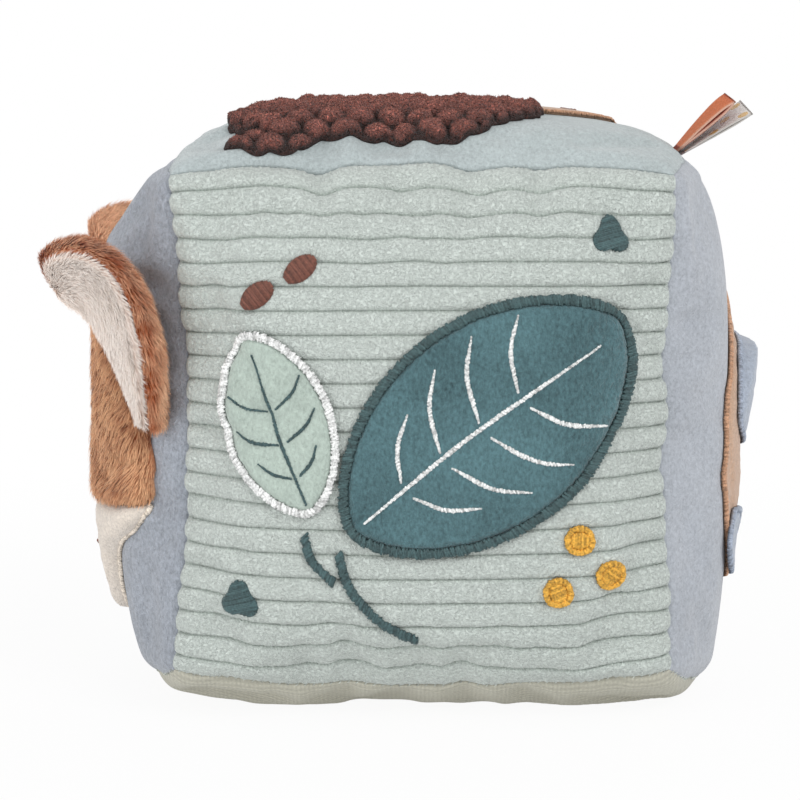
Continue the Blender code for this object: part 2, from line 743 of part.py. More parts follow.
def ear_half_width(share):
    """The ear's half width along its length: pinched at the root, full past the middle, round at the tip."""
    if share < EAR_WIDEST_SHARE:
        rise = math.sin(math.pi / 2 * share / EAR_WIDEST_SHARE)
        return EAR_HALF_WIDTH * (EAR_ROOT_WIDTH_SHARE + (1 - EAR_ROOT_WIDTH_SHARE) * rise)
    past = (share - EAR_WIDEST_SHARE) / (1 - EAR_WIDEST_SHARE)
    drop = 1 - math.sqrt(1 - past * past)
    return EAR_HALF_WIDTH * (1 - (1 - EAR_TIP_WIDTH_SHARE) * drop)


def ear(name, side):
    """One ear of two layers, a furry back and a pale lining, curved along a path that leaves the head's side.
    The near ear is at -Y, so side is -1 for it."""
    root = skin("left", -EAR_ROOT_SHARE, 0, lift=EAR_ROOT_STAND)
    path = [root + EAR_LENGTH * Vector((-out, -ahead, up)) for out, ahead, up in EAR_PATH_SHARES]
    depth = Vector((0, 1, 0))
    tiny = EAR_GAP / EAR_LENGTH

    def layer_place(thick, width_share, facing):
        def place(x, y, layer):
            share = (y + 1) / 2
            point = between(path, share)
            ahead = between(path, min(1, share + tiny)) - between(path, max(0, share - tiny))
            back = depth.cross(ahead).normalized()
            face = -back * math.cos(EAR_TURN) - depth * math.sin(EAR_TURN)
            across = back * math.sin(EAR_TURN) - depth * math.cos(EAR_TURN)
            edge = EAR_EDGE_SHARE + (1 - EAR_EDGE_SHARE) * math.sqrt(max(0.0, 1 - x * x))
            root_share = EAR_ROOT_THICK_SHARE + (1 - EAR_ROOT_THICK_SHARE) * min(1, share * 3)
            stand = EAR_GAP / 2 + (thick * edge * root_share if layer == 0 else 0)
            point = point + across * x * width_share * ear_half_width(share)
            point = point + face * (EAR_CUP * x * x + facing * stand)
            return Vector((point.x, -side * point.y, point.z))

        return place

    hinge = empty(f"{name}_hinge", Vector((root.x, -side * root.y, root.z)))
    cells = (EAR_CELLS[1], EAR_CELLS[0])
    layers = (
        ("back", EAR_BACK, 1, -1, FOX_BROWN),
        ("lining", EAR_LINING, EAR_LINING_WIDTH_SHARE, 1, CREAM),
    )
    for layer, thick, width_share, facing, colour in layers:
        mesh = slab(f"{name}_{layer}", cells, layer_place(thick, width_share, facing))
        carry(add(f"{name}_{layer}", mesh, parts, colour), hinge)


def bird():
    """The bird on the right side: a plush body, a wing flap sewn along its top edge, a tail, a beak, an eye."""
    relief = dome(on_face(BIRD_CENTRE_SHARES), on_face(BIRD_RADIUS_SHARES), BIRD_EDGE, BIRD_RISE)
    body = loop_through([on_face(shares) for shares in BIRD_BODY_SHARES])
    patch("bird_body", "right", [body], relief, TAN, split=PADDED_STEPS)

    def on_body(a, b):
        return relief(a, b) + PATCH_GAP

    wing = loop_through([on_face(shares) for shares in BIRD_WING_SHARES])
    wing_relief = dome(on_face(WING_CENTRE_SHARES), on_face(WING_RADIUS_SHARES), WING_EDGE, WING_RISE)
    split = PADDED_STEPS
    flap = patch("bird_wing", "right", [wing], wing_relief, LAVENDER, under=on_body, split=split * 2)
    hinge_a = WING_CENTRE_SHARES[0] * HALF
    hinge_b = WING_HINGE_SHARE * HALF
    lift = PATCH_GAP + on_body(hinge_a, hinge_b)
    carry(flap, empty("wing_hinge", skin("right", hinge_a / HALF, hinge_b / HALF, lift=lift)))
    tail = loop_through([on_face(shares) for shares in BIRD_TAIL_SHARES])
    tail_relief = dome(on_face(TAIL_CENTRE_SHARES), on_face(TAIL_RADIUS_SHARES), WING_EDGE, TAIL_RISE)
    patch("bird_tail", "right", [tail], tail_relief, LAVENDER, under=on_body, split=split)
    eye = oval(on_face(BIRD_EYE_SHARES), BIRD_EYE_RADIUS * 2, BIRD_EYE_RADIUS * 2)
    patch("bird_eye", "right", [eye], level(THREAD), COCOA, under=on_body, split=split)
    beak = loop_through([on_face(shares) for shares in BIRD_BEAK_SHARES])
    patch("bird_beak", "right", [beak], level(PLUSH), MUSTARD)


def mushroom():
    """The picture on the back: a plush cap and a paler stem."""
    cap = loop_through([on_face(shares) for shares in MUSHROOM_CAP_SHARES])
    patch("mushroom_cap", "back", [cap], level(PLUSH), RUST)
    stem = loop_through([on_face(shares) for shares in MUSHROOM_STEM_SHARES])
    patch("mushroom_stem", "back", [stem], level(PLUSH), CREAM)


def tag_loop(start, length, height, root_share):
    """A folded tag's outline seen edge on: narrow where it is sewn in, and round at its fold."""
    upper = []
    for number in range(TAG_STATIONS + 1):
        share = number / TAG_STATIONS
        if share < TAG_WIDEST_SHARE:
            swollen = math.sin(math.pi / 2 * share / TAG_WIDEST_SHARE)
            half = root_share + (1 - root_share) * swollen
        else:
            past = (share - TAG_WIDEST_SHARE) / (1 - TAG_WIDEST_SHARE)
            half = math.sqrt(1 - past * past)
        upper.append(Vector((start + length * share, height / 2 * half)))
    lower = [Vector((point.x, -point.y)) for point in upper[:-1]]
    return lower + upper[::-1]


def tags():
    """Two folded tags, one behind the other, sewn into the seam between the top and the right side."""
    seam = skin("top", 1, TAG_SHARE)
    hinge = empty("tag_hinge", seam)
    velour = (VELOUR_LENGTH, VELOUR_WIDTH, VELOUR_HEIGHT, VELOUR_THICK, VELOUR_LEAN, VELOUR_ASIDE)
    satin = (SATIN_LENGTH, SATIN_WIDTH, SATIN_HEIGHT, SATIN_THICK, SATIN_LEAN, SATIN_ASIDE)
    both = (("velour_tag", velour, RUST, 0.9), ("satin_tag", satin, WHITE, 0.5))
    for name, (length, width, height, thick, lean, aside), colour, roughness in both:
        outer = tag_loop(TAG_ROOT, length, height, TAG_ROOT_HEIGHT_SHARE)
        solid = length * TAG_SOLID_SHARE
        hole = tag_loop(TAG_ROOT + solid, length - solid - thick, height - 2 * thick, TAG_HOLE_ROOT_SHARE)
        mesh = prism(name, [outer, hole], width)
        tag = add(name, mesh, parts, colour, roughness)
        tag.parent = hinge
        turn = Matrix.Rotation(math.pi / 2, 4, "X") @ Matrix.Rotation(lean, 4, "Z")
        tag.matrix_local = turn @ Matrix.Translation(Vector((0, aside, 0)))
        twist = tag.modifiers.new("twist", "SIMPLE_DEFORM")
        twist.deform_method = "TWIST"
        twist.deform_axis = "X"
        twist.angle = TAG_TWIST


for old in list(bpy.data.objects):
    bpy.data.objects.remove(old)
parts = bpy.data.collections.new("activity_block")
cutters = bpy.data.collections.new("cutters")
bpy.context.scene.collection.children.link(parts)
bpy.context.scene.collection.children.link(cutters)

cord_panel(MINT)
panel("back", OATMEAL)
panel("left", SLATE)
panel("right", LAVENDER)
panel("top", AQUA)
flatten_base(panel("bottom", SAGE))
filling()
rattle()
leaf_sprig()
hedgehog()
head()
ear("ear_near", -1)
ear("ear_far", 1)
bird()
mushroom()
tags()
bpy.context.view_layer.update()
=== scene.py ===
"""The looks of a baby's soft activity block: a stuffed cube of corduroy, plush and knit, with shapes sewn on.

The block stands on its knitted underside. Its corduroy front faces -Y, the animal's head faces -X, the bird
faces +X, the hedgehog lies on the top and the mushroom is on the back.
"""

import math

import bmesh
import bpy
import numpy as np
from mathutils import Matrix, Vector, geometry, noise


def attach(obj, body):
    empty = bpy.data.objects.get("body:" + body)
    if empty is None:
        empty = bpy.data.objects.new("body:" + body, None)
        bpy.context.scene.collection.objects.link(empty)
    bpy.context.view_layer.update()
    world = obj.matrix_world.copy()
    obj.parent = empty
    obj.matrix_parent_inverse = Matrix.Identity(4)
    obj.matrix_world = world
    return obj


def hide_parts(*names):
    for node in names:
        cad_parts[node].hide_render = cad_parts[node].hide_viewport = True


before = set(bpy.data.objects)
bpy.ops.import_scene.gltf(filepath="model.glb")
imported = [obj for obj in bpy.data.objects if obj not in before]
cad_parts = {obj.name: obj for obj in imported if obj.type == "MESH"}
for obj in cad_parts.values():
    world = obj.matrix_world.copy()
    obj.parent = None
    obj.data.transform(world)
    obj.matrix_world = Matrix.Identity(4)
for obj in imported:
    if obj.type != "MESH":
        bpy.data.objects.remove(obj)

MM = 0.001
X, Y, Z = range(3)
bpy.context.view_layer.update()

# Studio. The camera stands 0.9 m in front of the block and a little above it, with a long lens, as in the
# photograph. Three soft lamps and a pale world light it, and the floor keeps a faint shadow.
BLOCK_MIDDLE = Vector((0, 0, 76.5 * MM))
CAMERA_AWAY = 0.9
CAMERA_RISE = math.radians(7)
CAMERA_LENS = 148.8
CAMERA_SHIFT = (-0.0275, -0.0075)
WORLD_LEVEL = 0.62
FLOOR_REACH = 3
FLOOR_GLOW = 0.34
FLOOR_SHOWN_WHITE = 0.93
FLOOR_FADE = 0.4
FLOOR_GREY = (0.9, 0.9, 0.9, 1)
WHITE = (1, 1, 1, 1)
LAMPS = (
    ("key_lamp", (0.9, -1.35, 1.3), 1.1, 15),
    ("fill_lamp", (-1.4, -1.1, 0.3), 1.2, 12),
    ("back_lamp", (0.2, 1.6, 1.2), 1.2, 6),
)


def added(name, data):
    """A new object, put into the scene."""
    thing = bpy.data.objects.new(name, data)
    bpy.context.scene.collection.objects.link(thing)
    return thing


def from_bmesh(name, bm):
    """A smooth-shaded object made of a bmesh, which is freed."""
    mesh = bpy.data.meshes.new(name)
    bm.to_mesh(mesh)
    bm.free()
    mesh.shade_smooth()
    return added(name, mesh)


lens = bpy.data.cameras.new("camera")
lens.lens = CAMERA_LENS
lens.shift_x, lens.shift_y = CAMERA_SHIFT
camera = added("camera", lens)
back = Vector((0, -math.cos(CAMERA_RISE), math.sin(CAMERA_RISE)))
camera.location = BLOCK_MIDDLE + back * CAMERA_AWAY
camera.rotation_euler = (math.pi / 2 - CAMERA_RISE, 0, 0)
bpy.context.scene.camera = camera
bpy.context.scene.view_settings.view_transform = "Standard"

for name, place, size, power in LAMPS:
    light = bpy.data.lights.new(name, "AREA")
    light.size = size
    light.energy = power
    lamp = added(name, light)
    lamp.location = place
    lamp.rotation_euler = (BLOCK_MIDDLE - Vector(place)).to_track_quat("-Z", "Y").to_euler()


class Strand:
    """A socket in a node tree. A sum on it adds a Math node."""

    def __init__(self, loom, socket):
        self.loom = loom
        self.socket = socket

    def math(self, operation, first, second=None):
        values = {0: first} if second is None else {0: first, 1: second}
        return self.loom.node("ShaderNodeMath", {"operation": operation}, values)

    def __add__(self, other):
        return self.math("ADD", self, other)

    def __sub__(self, other):
        return self.math("SUBTRACT", self, other)

    def __rsub__(self, other):
        return self.math("SUBTRACT", other, self)

    def __mul__(self, other):
        return self.math("MULTIPLY", self, other)

    def __truediv__(self, other):
        return self.math("DIVIDE", self, other)

    def __pow__(self, other):
        return self.math("POWER", self, other)

    __radd__ = __add__
    __rmul__ = __mul__

    def sine(self):
        return self.math("SINE", self)

    def limited(self):
        return self.loom.node("ShaderNodeClamp", {}, {0: self})


class Loom:
    """A node tree that grows a node at a time."""

    def __init__(self, tree):
        self.tree = tree

    def feed(self, node, sockets):
        """Gives a node's sockets their links and values."""
        for key, value in sockets.items():
            if isinstance(value, Strand):
                self.tree.links.new(value.socket, node.inputs[key])
            else:
                node.inputs[key].default_value = value

    def node(self, kind, settings, sockets, out=0):
        node = self.tree.nodes.new(kind)
        for key, value in settings.items():
            setattr(node, key, value)
        self.feed(node, sockets)
        return Strand(self, node.outputs[out] if len(node.outputs) else None)

    def mixed(self, factor, first, second, blend="MIX"):
        """Two colours mixed by a factor."""
        settings = {"data_type": "RGBA", "blend_type": blend}
        return self.node("ShaderNodeMix", settings, {0: factor, 6: first, 7: second}, out=2)


def cleared(owner):
    """The loom for a world's or a material's nodes, with none on it yet."""
    owner.use_nodes = True
    owner.node_tree.nodes.clear()
    return Loom(owner.node_tree)


def seen_directly(loom):
    """1 for rays that show a thing as it is: from the camera, a mirror or glass."""
    rays = [
        loom.node("ShaderNodeLightPath", {}, {}, out=kind)
        for kind in ("Is Camera Ray", "Is Glossy Ray", "Is Transmission Ray")
    ]
    return (rays[0] + rays[1] + rays[2]).limited()


world = bpy.data.worlds.new("studio")
bpy.context.scene.world = world
loom = cleared(world)
strength = WORLD_LEVEL + (1 - WORLD_LEVEL) * seen_directly(loom)
sky = loom.node("ShaderNodeBackground", {}, {"Color": WHITE, "Strength": strength})
loom.node("ShaderNodeOutputWorld", {}, {"Surface": sky})

bm = bmesh.new()
bmesh.ops.create_grid(bm, x_segments=1, y_segments=1, size=FLOOR_REACH)
floor = from_bmesh("floor", bm)
floor_paint = bpy.data.materials.new("floor")
loom = cleared(floor_paint)
matt = loom.node("ShaderNodeBsdfDiffuse", {}, {"Color": FLOOR_GREY})
white = loom.node("ShaderNodeEmission", {}, {"Color": WHITE, "Strength": 1})
spot = loom.node("ShaderNodeTexCoord", {}, {}, out="Object")
away = loom.node("ShaderNodeVectorMath", {"operation": "LENGTH"}, {0: spot}, out="Value")
far = (away / FLOOR_FADE).limited() ** 2
whiter = FLOOR_SHOWN_WHITE - FLOOR_GLOW + (1 - FLOOR_SHOWN_WHITE) * far
shown = FLOOR_GLOW + seen_directly(loom) * whiter
both = loom.node("ShaderNodeMixShader", {}, {0: shown, 1: matt, 2: white})
loom.node("ShaderNodeOutputMaterial", {}, {"Surface": both})
floor.data.materials.append(floor_paint)

# Cover. Six panels are cut from different fabrics and sewn edge to edge, right sides together, then turned
# and stuffed. The stuffing crowns each panel and bows its seams, most of them inwards between their corners
# and those at the sides outwards. Their thread gathers small tucks.
EDGE = 130 * MM
HALF = EDGE / 2
FACES = {
    "front": (Y, -1, X, Z, 14 * MM),
    "back": (Y, 1, X, Z, 14 * MM),
    "left": (X, -1, Y, Z, 16 * MM),
    "right": (X, 1, Y, Z, 16 * MM),
    "top": (Z, 1, X, Y, 11.2 * MM),
    "bottom": (Z, -1, X, Y, 12 * MM),
}
CROWN_POWER = 5
# Where a crown slopes down sooner: by its face, the axis along it, and the end of that axis.
SOFT_POWERS = {
    ("left", Z, -1): 3, ("right", Z, 1): 3, ("right", Z, -1): 2.7,
    ("top", X, 1): 3, ("top", Y, 1): 4, ("bottom", Y, -1): 3.5,
}
LEFT_BOW, RIGHT_BOW, UPRIGHT_BOW, LEVEL_BOW = 5 * MM, 3 * MM, 3 * MM, 3 * MM
# How far the seams that run from front to back bulge, sideways and then up or down, by their X and Z ends.
SIDE_BULGES = {
    (-1, 1): (0, 0), (1, 1): (4.8 * MM, 1 * MM), (-1, -1): (7.5 * MM, 7 * MM), (1, -1): (11 * MM, 10 * MM),
}
TOP_RISE, BASE_SAG = 1.5 * MM, 3.5 * MM
COVER_THICK = 3.5 * MM
SHOULDER, SHOULDER_SHARE, SHOULDER_REACH_SHARE = 5 * MM, 0.6, 0.18
CORNER_ROUND, CORNER_POWER = 1.8 * MM, 14
CORNER_SHARE = 0.05
SEAM_DEPTH, SEAM_REACH = 0.8 * MM, 1.3 * MM
TUCK_WIDTH_SHARE = 0.065
WAVE = 0.7 * MM
FRONT_TOP_TUCKS = ((-0.4, 2.4 * MM), (0.18, 1.2 * MM), (0.455, 1.5 * MM), (-0.82, 0.8 * MM))
TUCK_COUNT = 4
TUCK_DEEPEST = 1.3 * MM
WAVE_REACH, PULL_REACH = 8 * MM, 6 * MM
CREASE, CREASE_REACH = 0.45 * MM, 4 * MM
SLOPE_STEP = 0.004
PANEL_CELLS = 160
LINING_CELLS = 12
SEAM_CROWDING = 0.45


def swell(face, axis, share):
    """The height of a crown, from 0 at a seam to 1 in the middle. A softer power slopes down sooner."""
    low, high = (SOFT_POWERS.get((face, axis, end), CROWN_POWER) for end in (-1, 1))
    return 1 - np.abs(share) ** np.where(share < 0, low, high)


def drawn_in(axis, side, run, other):
    """How far along an axis the middle of a seam lies inside its corners, below 0 where it bulges. The seam
    lies on one side along that axis, runs along a second one, and lies on the other side along the third."""
    side, other = np.broadcast_arrays(side, other)
    if run == Y:
        part, across, up = (0, side, other) if axis == X else (1, other, side)
        drawn = np.zeros(side.shape)
        for (x, z), bulges in SIDE_BULGES.items():
            drawn = np.where(((across >= 0) == (x > 0)) & ((up >= 0) == (z > 0)), -bulges[part], drawn)
        return drawn
    if axis == Z:
        return np.where(side > 0, -TOP_RISE, -BASE_SAG)
    if axis == X:
        return np.where(side > 0, RIGHT_BOW, LEFT_BOW)
    return np.full(side.shape, UPRIGHT_BOW if run == Z else LEVEL_BOW)


def smooth_cover(face, u, v):
    """Points of the stuffed cover without its seams. u and v run from -1 to 1 between the seams."""
    normal, side, a, b, crown = FACES[face]
    point = np.zeros(u.shape + (3,))
    point[..., a] = u * (HALF - drawn_in(a, u, b, side) * (1 - v * v))
    point[..., b] = v * (HALF - drawn_in(b, v, a, side) * (1 - u * u))
    pinch = (1 - v * v) * drawn_in(normal, side, b, u) * u * u
    pinch = pinch + (1 - u * u) * drawn_in(normal, side, a, v) * v * v
    point[..., normal] = side * (HALF - pinch + crown * swell(face, a, u) * swell(face, b, v))
    return point + np.array(BLOCK_MIDDLE)


def seam_key(first, second):
    """One number for the seam between two sides of the block, each an axis and a direction."""
    low, high = sorted((first, second))
    return (low[0] * 2 + (low[1] > 0)) * 6 + high[0] * 2 + (high[1] > 0)


def seam_tucks(key):
    """Where a seam's thread pulls it in, and how deep."""
    if key == seam_key((Y, -1), (Z, 1)):
        return FRONT_TOP_TUCKS
    draw = np.random.default_rng(key)
    shares = np.linspace(-0.8, 0.8, TUCK_COUNT) + draw.uniform(-0.12, 0.12, TUCK_COUNT)
    return tuple(zip(shares, draw.uniform(0.3, 1, TUCK_COUNT) * TUCK_DEEPEST))


def ripple(key, along, part):
    """A smooth wave along a seam, from -1 to 1."""
    start = key * 1.7 + part * 2.3
    return 0.6 * np.sin(along * 9.5 + start) + 0.4 * np.sin(along * 17 + start * 1.9)


def seamed_cover(face, u, v):
    """Points of the cover with its seams drawn in, their tucks, and the creases that run out from them."""
    normal, side, a, b, _ = FACES[face]
    point = smooth_cover(face, u, v)
    if face == "left":
        shoulder = np.exp(-(((v - SHOULDER_SHARE) / SHOULDER_REACH_SHARE) ** 2)) * (1 - u * u)
        point[..., X] -= SHOULDER * shoulder
    rounding = CORNER_ROUND * np.abs(u * v) ** CORNER_POWER
    for axis, way in ((normal, side), (a, np.sign(u)), (b, np.sign(v))):
        point[..., axis] -= way * rounding
    for own, along, axis in ((u, v, a), (v, u, b)):
        for end in (-1, 1):
            key = seam_key((normal, side), (axis, end))
            away = HALF * (1 - own * end)
            slack = 1 - along * along
            off_corner = np.clip((1 - np.abs(along)) / CORNER_SHARE, 0, 1)
            pulled = np.zeros(u.shape)
            for share, depth in seam_tucks(key):
                pulled += depth * np.exp(-(((along - share) / TUCK_WIDTH_SHARE) ** 2)) * slack
            groove = SEAM_DEPTH * off_corner * np.exp(-away / SEAM_REACH)
            for moved, way, reach in ((axis, end, WAVE_REACH), (normal, side, PULL_REACH)):
                wave = WAVE * ripple(key, along, moved) * slack
                point[..., moved] += way * (wave - pulled) * np.exp(-away / reach)
                point[..., moved] -= way * groove
            crease = away / CREASE_REACH * np.exp(1 - away / CREASE_REACH)
            fold = ripple(key, along * 2.6, normal) + 0.5 * ripple(key + 5, along * 4.9, axis)
            point[..., normal] += side * CREASE * crease * fold * slack
    return point


def made(name, corners, faces, turned=False):
    """A smooth-shaded object made of corners and faces. turned turns the faces of a closed one outwards."""
    mesh = bpy.data.meshes.new(name)
    mesh.from_pydata(np.asarray(corners).tolist(), [], [list(face) for face in faces])
    if turned:
        bm = bmesh.new()
        bm.from_mesh(mesh)
        bmesh.ops.recalc_face_normals(bm, faces=bm.faces[:])
        bm.to_mesh(mesh)
        bm.free()
    mesh.shade_smooth()
    return added(name, mesh)


def grid_faces(rows, columns):
    """The quads of a grid of points, and the points round its edge, as numbers."""
    number = np.arange(rows * columns).reshape(rows, columns)
    quads = np.stack((number[:-1, :-1], number[1:, :-1], number[1:, 1:], number[:-1, 1:]), axis=-1)
    rim = np.concatenate((number[:-1, 0], number[-1, :-1], number[:0:-1, -1], number[0, :0:-1]))
    return quads.reshape(-1, 4), rim


# The stuffing's pressure wrinkles the cover between its seams. A coarse net of the whole cover is blown up as
# cloth, with its seams held, and only the wrinkles that it forms are kept.
NET_CELLS = 26
NET_MERGE = 0.01 * MM
NET_FRAMES = 20
NET_CLOTH = {
    "quality": 6, "mass": 0.2, "tension_stiffness": 20, "compression_stiffness": 20, "shear_stiffness": 6,
    "bending_stiffness": 0.3, "use_pressure": True, "uniform_pressure_force": 3, "shrink_min": -0.035,
    "vertex_group_mass": "seams",
}
NET_CAP = 2.2 * MM
NET_SMOOTHINGS = 30
NET_KEPT_SHARE = 0.75
wrinkles = {face: np.zeros((NET_CELLS + 1, NET_CELLS + 1, 3)) for face in FACES}


def blown_net():
    """The net's points for each face, before and after it is blown up."""
    steps = np.linspace(-1, 1, NET_CELLS + 1)
    across, up = np.meshgrid(steps, steps, indexing="ij")
    corners, places, numbers = [], {}, {}
    for face in FACES:
        points = seamed_cover(face, across, up)
        rows = np.zeros(across.shape, int)
        for place in np.ndindex(rows.shape):
            spot = tuple(np.round(points[place] / NET_MERGE).astype(int))
            if spot not in numbers:
                numbers[spot] = len(corners)
                corners.append(points[place])
            rows[place] = numbers[spot]
        places[face] = rows
    quads, rim = grid_faces(NET_CELLS + 1, NET_CELLS + 1)
    sides = np.concatenate([rows.ravel()[quads] for rows in places.values()])
    held = np.unique([rows.ravel()[rim] for rows in places.values()])
    net = made("cover_net", corners, sides.tolist(), turned=True)
    net.vertex_groups.new(name="seams").add(held.tolist(), 1, "REPLACE")
    cloth = net.modifiers.new("cloth", "CLOTH")
    for key, value in NET_CLOTH.items():
        setattr(cloth.settings, key, value)
    cloth.settings.effector_weights.gravity = 0
    cloth.point_cache.frame_start, cloth.point_cache.frame_end = 1, NET_FRAMES
    for step in range(1, NET_FRAMES + 1):
        bpy.context.scene.frame_set(step)
    shaped = net.evaluated_get(bpy.context.evaluated_depsgraph_get()).data
    blown = np.array([corner.co for corner in shaped.vertices])
    bpy.data.objects.remove(net)
    bpy.context.scene.frame_set(1)
    return np.array(corners), blown, places


def softened(field, rounds):
    """A field on the net's points with its short wrinkles smoothed away. Its edge stays."""
    field = field.copy()
    for _ in range(rounds):
        inner = (field[:-2, 1:-1] + field[2:, 1:-1] + field[1:-1, :-2] + field[1:-1, 2:]) / 4
        field[1:-1, 1:-1] = inner
    return field


def between_knots(field, u, v):
    """The field's value at places on a face, on a smooth surface through the net's points."""
    spots = [(np.clip(share, -1, 1) + 1) / 2 * NET_CELLS for share in (u, v)]
    knots = [np.clip(np.floor(spot).astype(int), 0, NET_CELLS - 1) for spot in spots]
    weights = []
    for spot, knot in zip(spots, knots):
        t = spot - knot
        weights.append((
            (-t + 2 * t**2 - t**3) / 2, (2 - 5 * t**2 + 3 * t**3) / 2,
            (t + 4 * t**2 - 3 * t**3) / 2, (-(t**2) + t**3) / 2,
        ))
    total = np.zeros(u.shape + (3,))
    for i in range(4):
        row = np.clip(knots[0] + i - 1, 0, NET_CELLS)
        for j in range(4):
            column = np.clip(knots[1] + j - 1, 0, NET_CELLS)
            total += (weights[0][i] * weights[1][j])[..., None] * field[row, column]
    return total


before, after, places = blown_net()
for face, rows in places.items():
    moved = after[rows] - before[rows]
    far = np.linalg.norm(moved, axis=-1, keepdims=True)
    moved = moved * np.minimum(1, NET_CAP / np.maximum(far, 1e-9))
    wrinkles[face] = (moved - softened(moved, NET_SMOOTHINGS)) * NET_KEPT_SHARE


def cover(face, u, v):
    """Points of the finished cover."""
    u, v = np.asarray(u, float), np.asarray(v, float)
    return seamed_cover(face, u, v) + between_knots(wrinkles[face], u, v)


def outward(face):
    """1 if a face's two axes turn the right way round for its outside, and -1 if not."""
    normal, side, a, b, _ = FACES[face]
    return np.cross(np.eye(3)[a], np.eye(3)[b])[normal] * side


def out_of_cover(face, u, v):
    """The directions straight out of the cover."""
    slope_a = cover(face, u + SLOPE_STEP, v) - cover(face, u - SLOPE_STEP, v)
    slope_b = cover(face, u, v + SLOPE_STEP) - cover(face, u, v - SLOPE_STEP)
    out = np.cross(slope_a, slope_b) * outward(face)
    return out / np.linalg.norm(out, axis=-1, keepdims=True)


def finished(thing, paint, body="block", stands_for=()):
    """Gives a piece its material and the body that it moves with, and hides the parts that it stands for."""
    thing.data.materials.clear()
    thing.data.materials.append(paint)
    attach(thing, body)
    if stands_for:
        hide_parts(*stands_for)
    return thing


def crowded(cells):
    """Grid lines from -1 to 1 that lie closer together near the seams."""
    even = np.linspace(-1, 1, cells + 1)
    return even * (1 - SEAM_CROWDING) + np.sin(even * math.pi / 2) * SEAM_CROWDING


def triangles_in(ring, inner):
    """Flat triangles between a closed ring of points and the points inside it."""
    points = [Vector(point) for point in ring] + [Vector(point) for point in inner]
    edges = [(number, (number + 1) % len(ring)) for number in range(len(ring))]
    spots, _, faces, sources, _, _ = geometry.delaunay_2d_cdt(points, edges, [], 1, 1e-7)
    order = [source[0] for source in sources]
    return [tuple(order[corner] for corner in face) for face in faces]


def panel_piece(face, us, vs, shaped):
    """A padded panel: a fine outer side that shaped gives, and a plain lining against the stuffing."""
    across, up = np.meshgrid(us, vs, indexing="ij")
    outer = shaped(face, across, up).reshape(-1, 3)
    quads, rim = grid_faces(*across.shape)
    rim_uv = np.stack((across.ravel()[rim], up.ravel()[rim]), axis=-1)
    steps = np.linspace(-0.9, 0.9, LINING_CELLS + 1)
    inner_uv = np.array([(u, v) for u in steps for v in steps])
    middle = np.array(BLOCK_MIDDLE)
    inner = np.concatenate((outer[rim], smooth_cover(face, *inner_uv.T)))
    inner = (inner - middle) * (1 - COVER_THICK / HALF) + middle
    first = len(outer)
    ring = first + np.arange(len(rim))
    turned_in = np.stack((rim, np.roll(rim, -1), np.roll(ring, -1), ring), axis=-1).tolist()
    lining = [[first + corner for corner in corners] for corners in triangles_in(rim_uv, inner_uv)]
    sides = quads.tolist() + [corners[::-1] for corners in turned_in + lining]
    if outward(face) < 0:
        sides = [corners[::-1] for corners in sides]
    return made(f"{face}_cover", np.concatenate((outer, inner)), sides)


def linear(colour):
    """A colour like #RRGGBB as a shader takes it."""
    steps = [int(colour[at : at + 2], 16) / 255 for at in (1, 3, 5)]
    steps = [step / 12.92 if step <= 0.04045 else ((step + 0.055) / 1.055) ** 2.4 for step in steps]
    return (*steps, 1)


class Fabric:
    """A fabric's material while it is being made."""

    def __init__(self, name, sheen=0.35, sheen_rough=0.45, specular=0.15):
        self.paint = bpy.data.materials.new(name)
        self.loom = cleared(self.paint)
        self.spot = self.loom.node("ShaderNodeTexCoord", {}, {}, out="Object")
        fixed = {
            "Sheen Weight": sheen, "Sheen Roughness": sheen_rough,
            "Specular IOR Level": specular, "Metallic": 0,
        }
        self.shader = self.loom.node("ShaderNodeBsdfPrincipled", {}, fixed)
        self.loom.node("ShaderNodeOutputMaterial", {}, {"Surface": self.shader})

    def grain(self, per_metre, detail=2, rough=0.5, stretch=None, curl=0):
        """Noise from 0 to 1 in the object's space. stretch makes it finer or coarser along each axis, and curl
        winds it into worms."""
        spot = self.spot
        if stretch:
            spot = self.loom.node("ShaderNodeMapping", {}, {"Vector": spot, "Scale": stretch})
        sockets = {"Vector": spot, "Scale": per_metre, "Detail": detail, "Roughness": rough, "Distortion": curl}
        return self.loom.node("ShaderNodeTexNoise", {}, sockets)

    def along(self, axis):
        """How far along X, Y or Z a place lies."""
        return self.loom.node("ShaderNodeSeparateXYZ", {}, {0: self.spot}, out=axis)

    def attribute(self, name):
        """A number that the mesh carries at its corners."""
        return self.loom.node("ShaderNodeAttribute", {"attribute_name": name}, {}, out="Fac")

    def shaded(self, colour, shade):
        """A colour made lighter or darker by a number about 1."""
        level = self.loom.node("ShaderNodeCombineColor", {}, {0: shade, 1: shade, 2: shade})
        return self.loom.mixed(1, colour, level, "MULTIPLY")

    def finish(self, colour, rough, height, depth):
        """Sets the colour, the roughness and the relief, whose height runs from 0 to 1 over a depth."""
        sockets = {"Height": height, "Distance": depth, "Strength": 1}
        bump = self.loom.node("ShaderNodeBump", {}, sockets, out="Normal")
        looks = {"Base Color": colour, "Roughness": rough, "Normal": bump}
        self.loom.feed(self.shader.socket.node, looks)
        return self.paint


def plush(name, colour, stretch=(1, 1, 1), mottle=0.22, depth=0.5 * MM, sheen=0.4, fuzz=0.9):
    """Short-piled plush: fine fibres that lie one way, with soft patches where hands have stroked it."""
    fabric = Fabric(name, sheen=sheen)
    fibres = fabric.grain(1250, 3, 0.75, stretch)
    tufts = ((fabric.grain(700, 3, 0.6, curl=1.5) - 0.5) * 2.5 + 0.5).limited()
    patches = fabric.grain(45, 3, 0.55)
    shade = 1 + (patches - 0.5) * mottle + (fibres - 0.5) * fuzz + (tufts - 0.5) * fuzz * 0.12
    relief = fibres * 0.7 + tufts * 0.3
    return fabric.finish(fabric.shaded(linear(colour), shade), 0.88 + (fibres - 0.5) * 0.1, relief, depth)


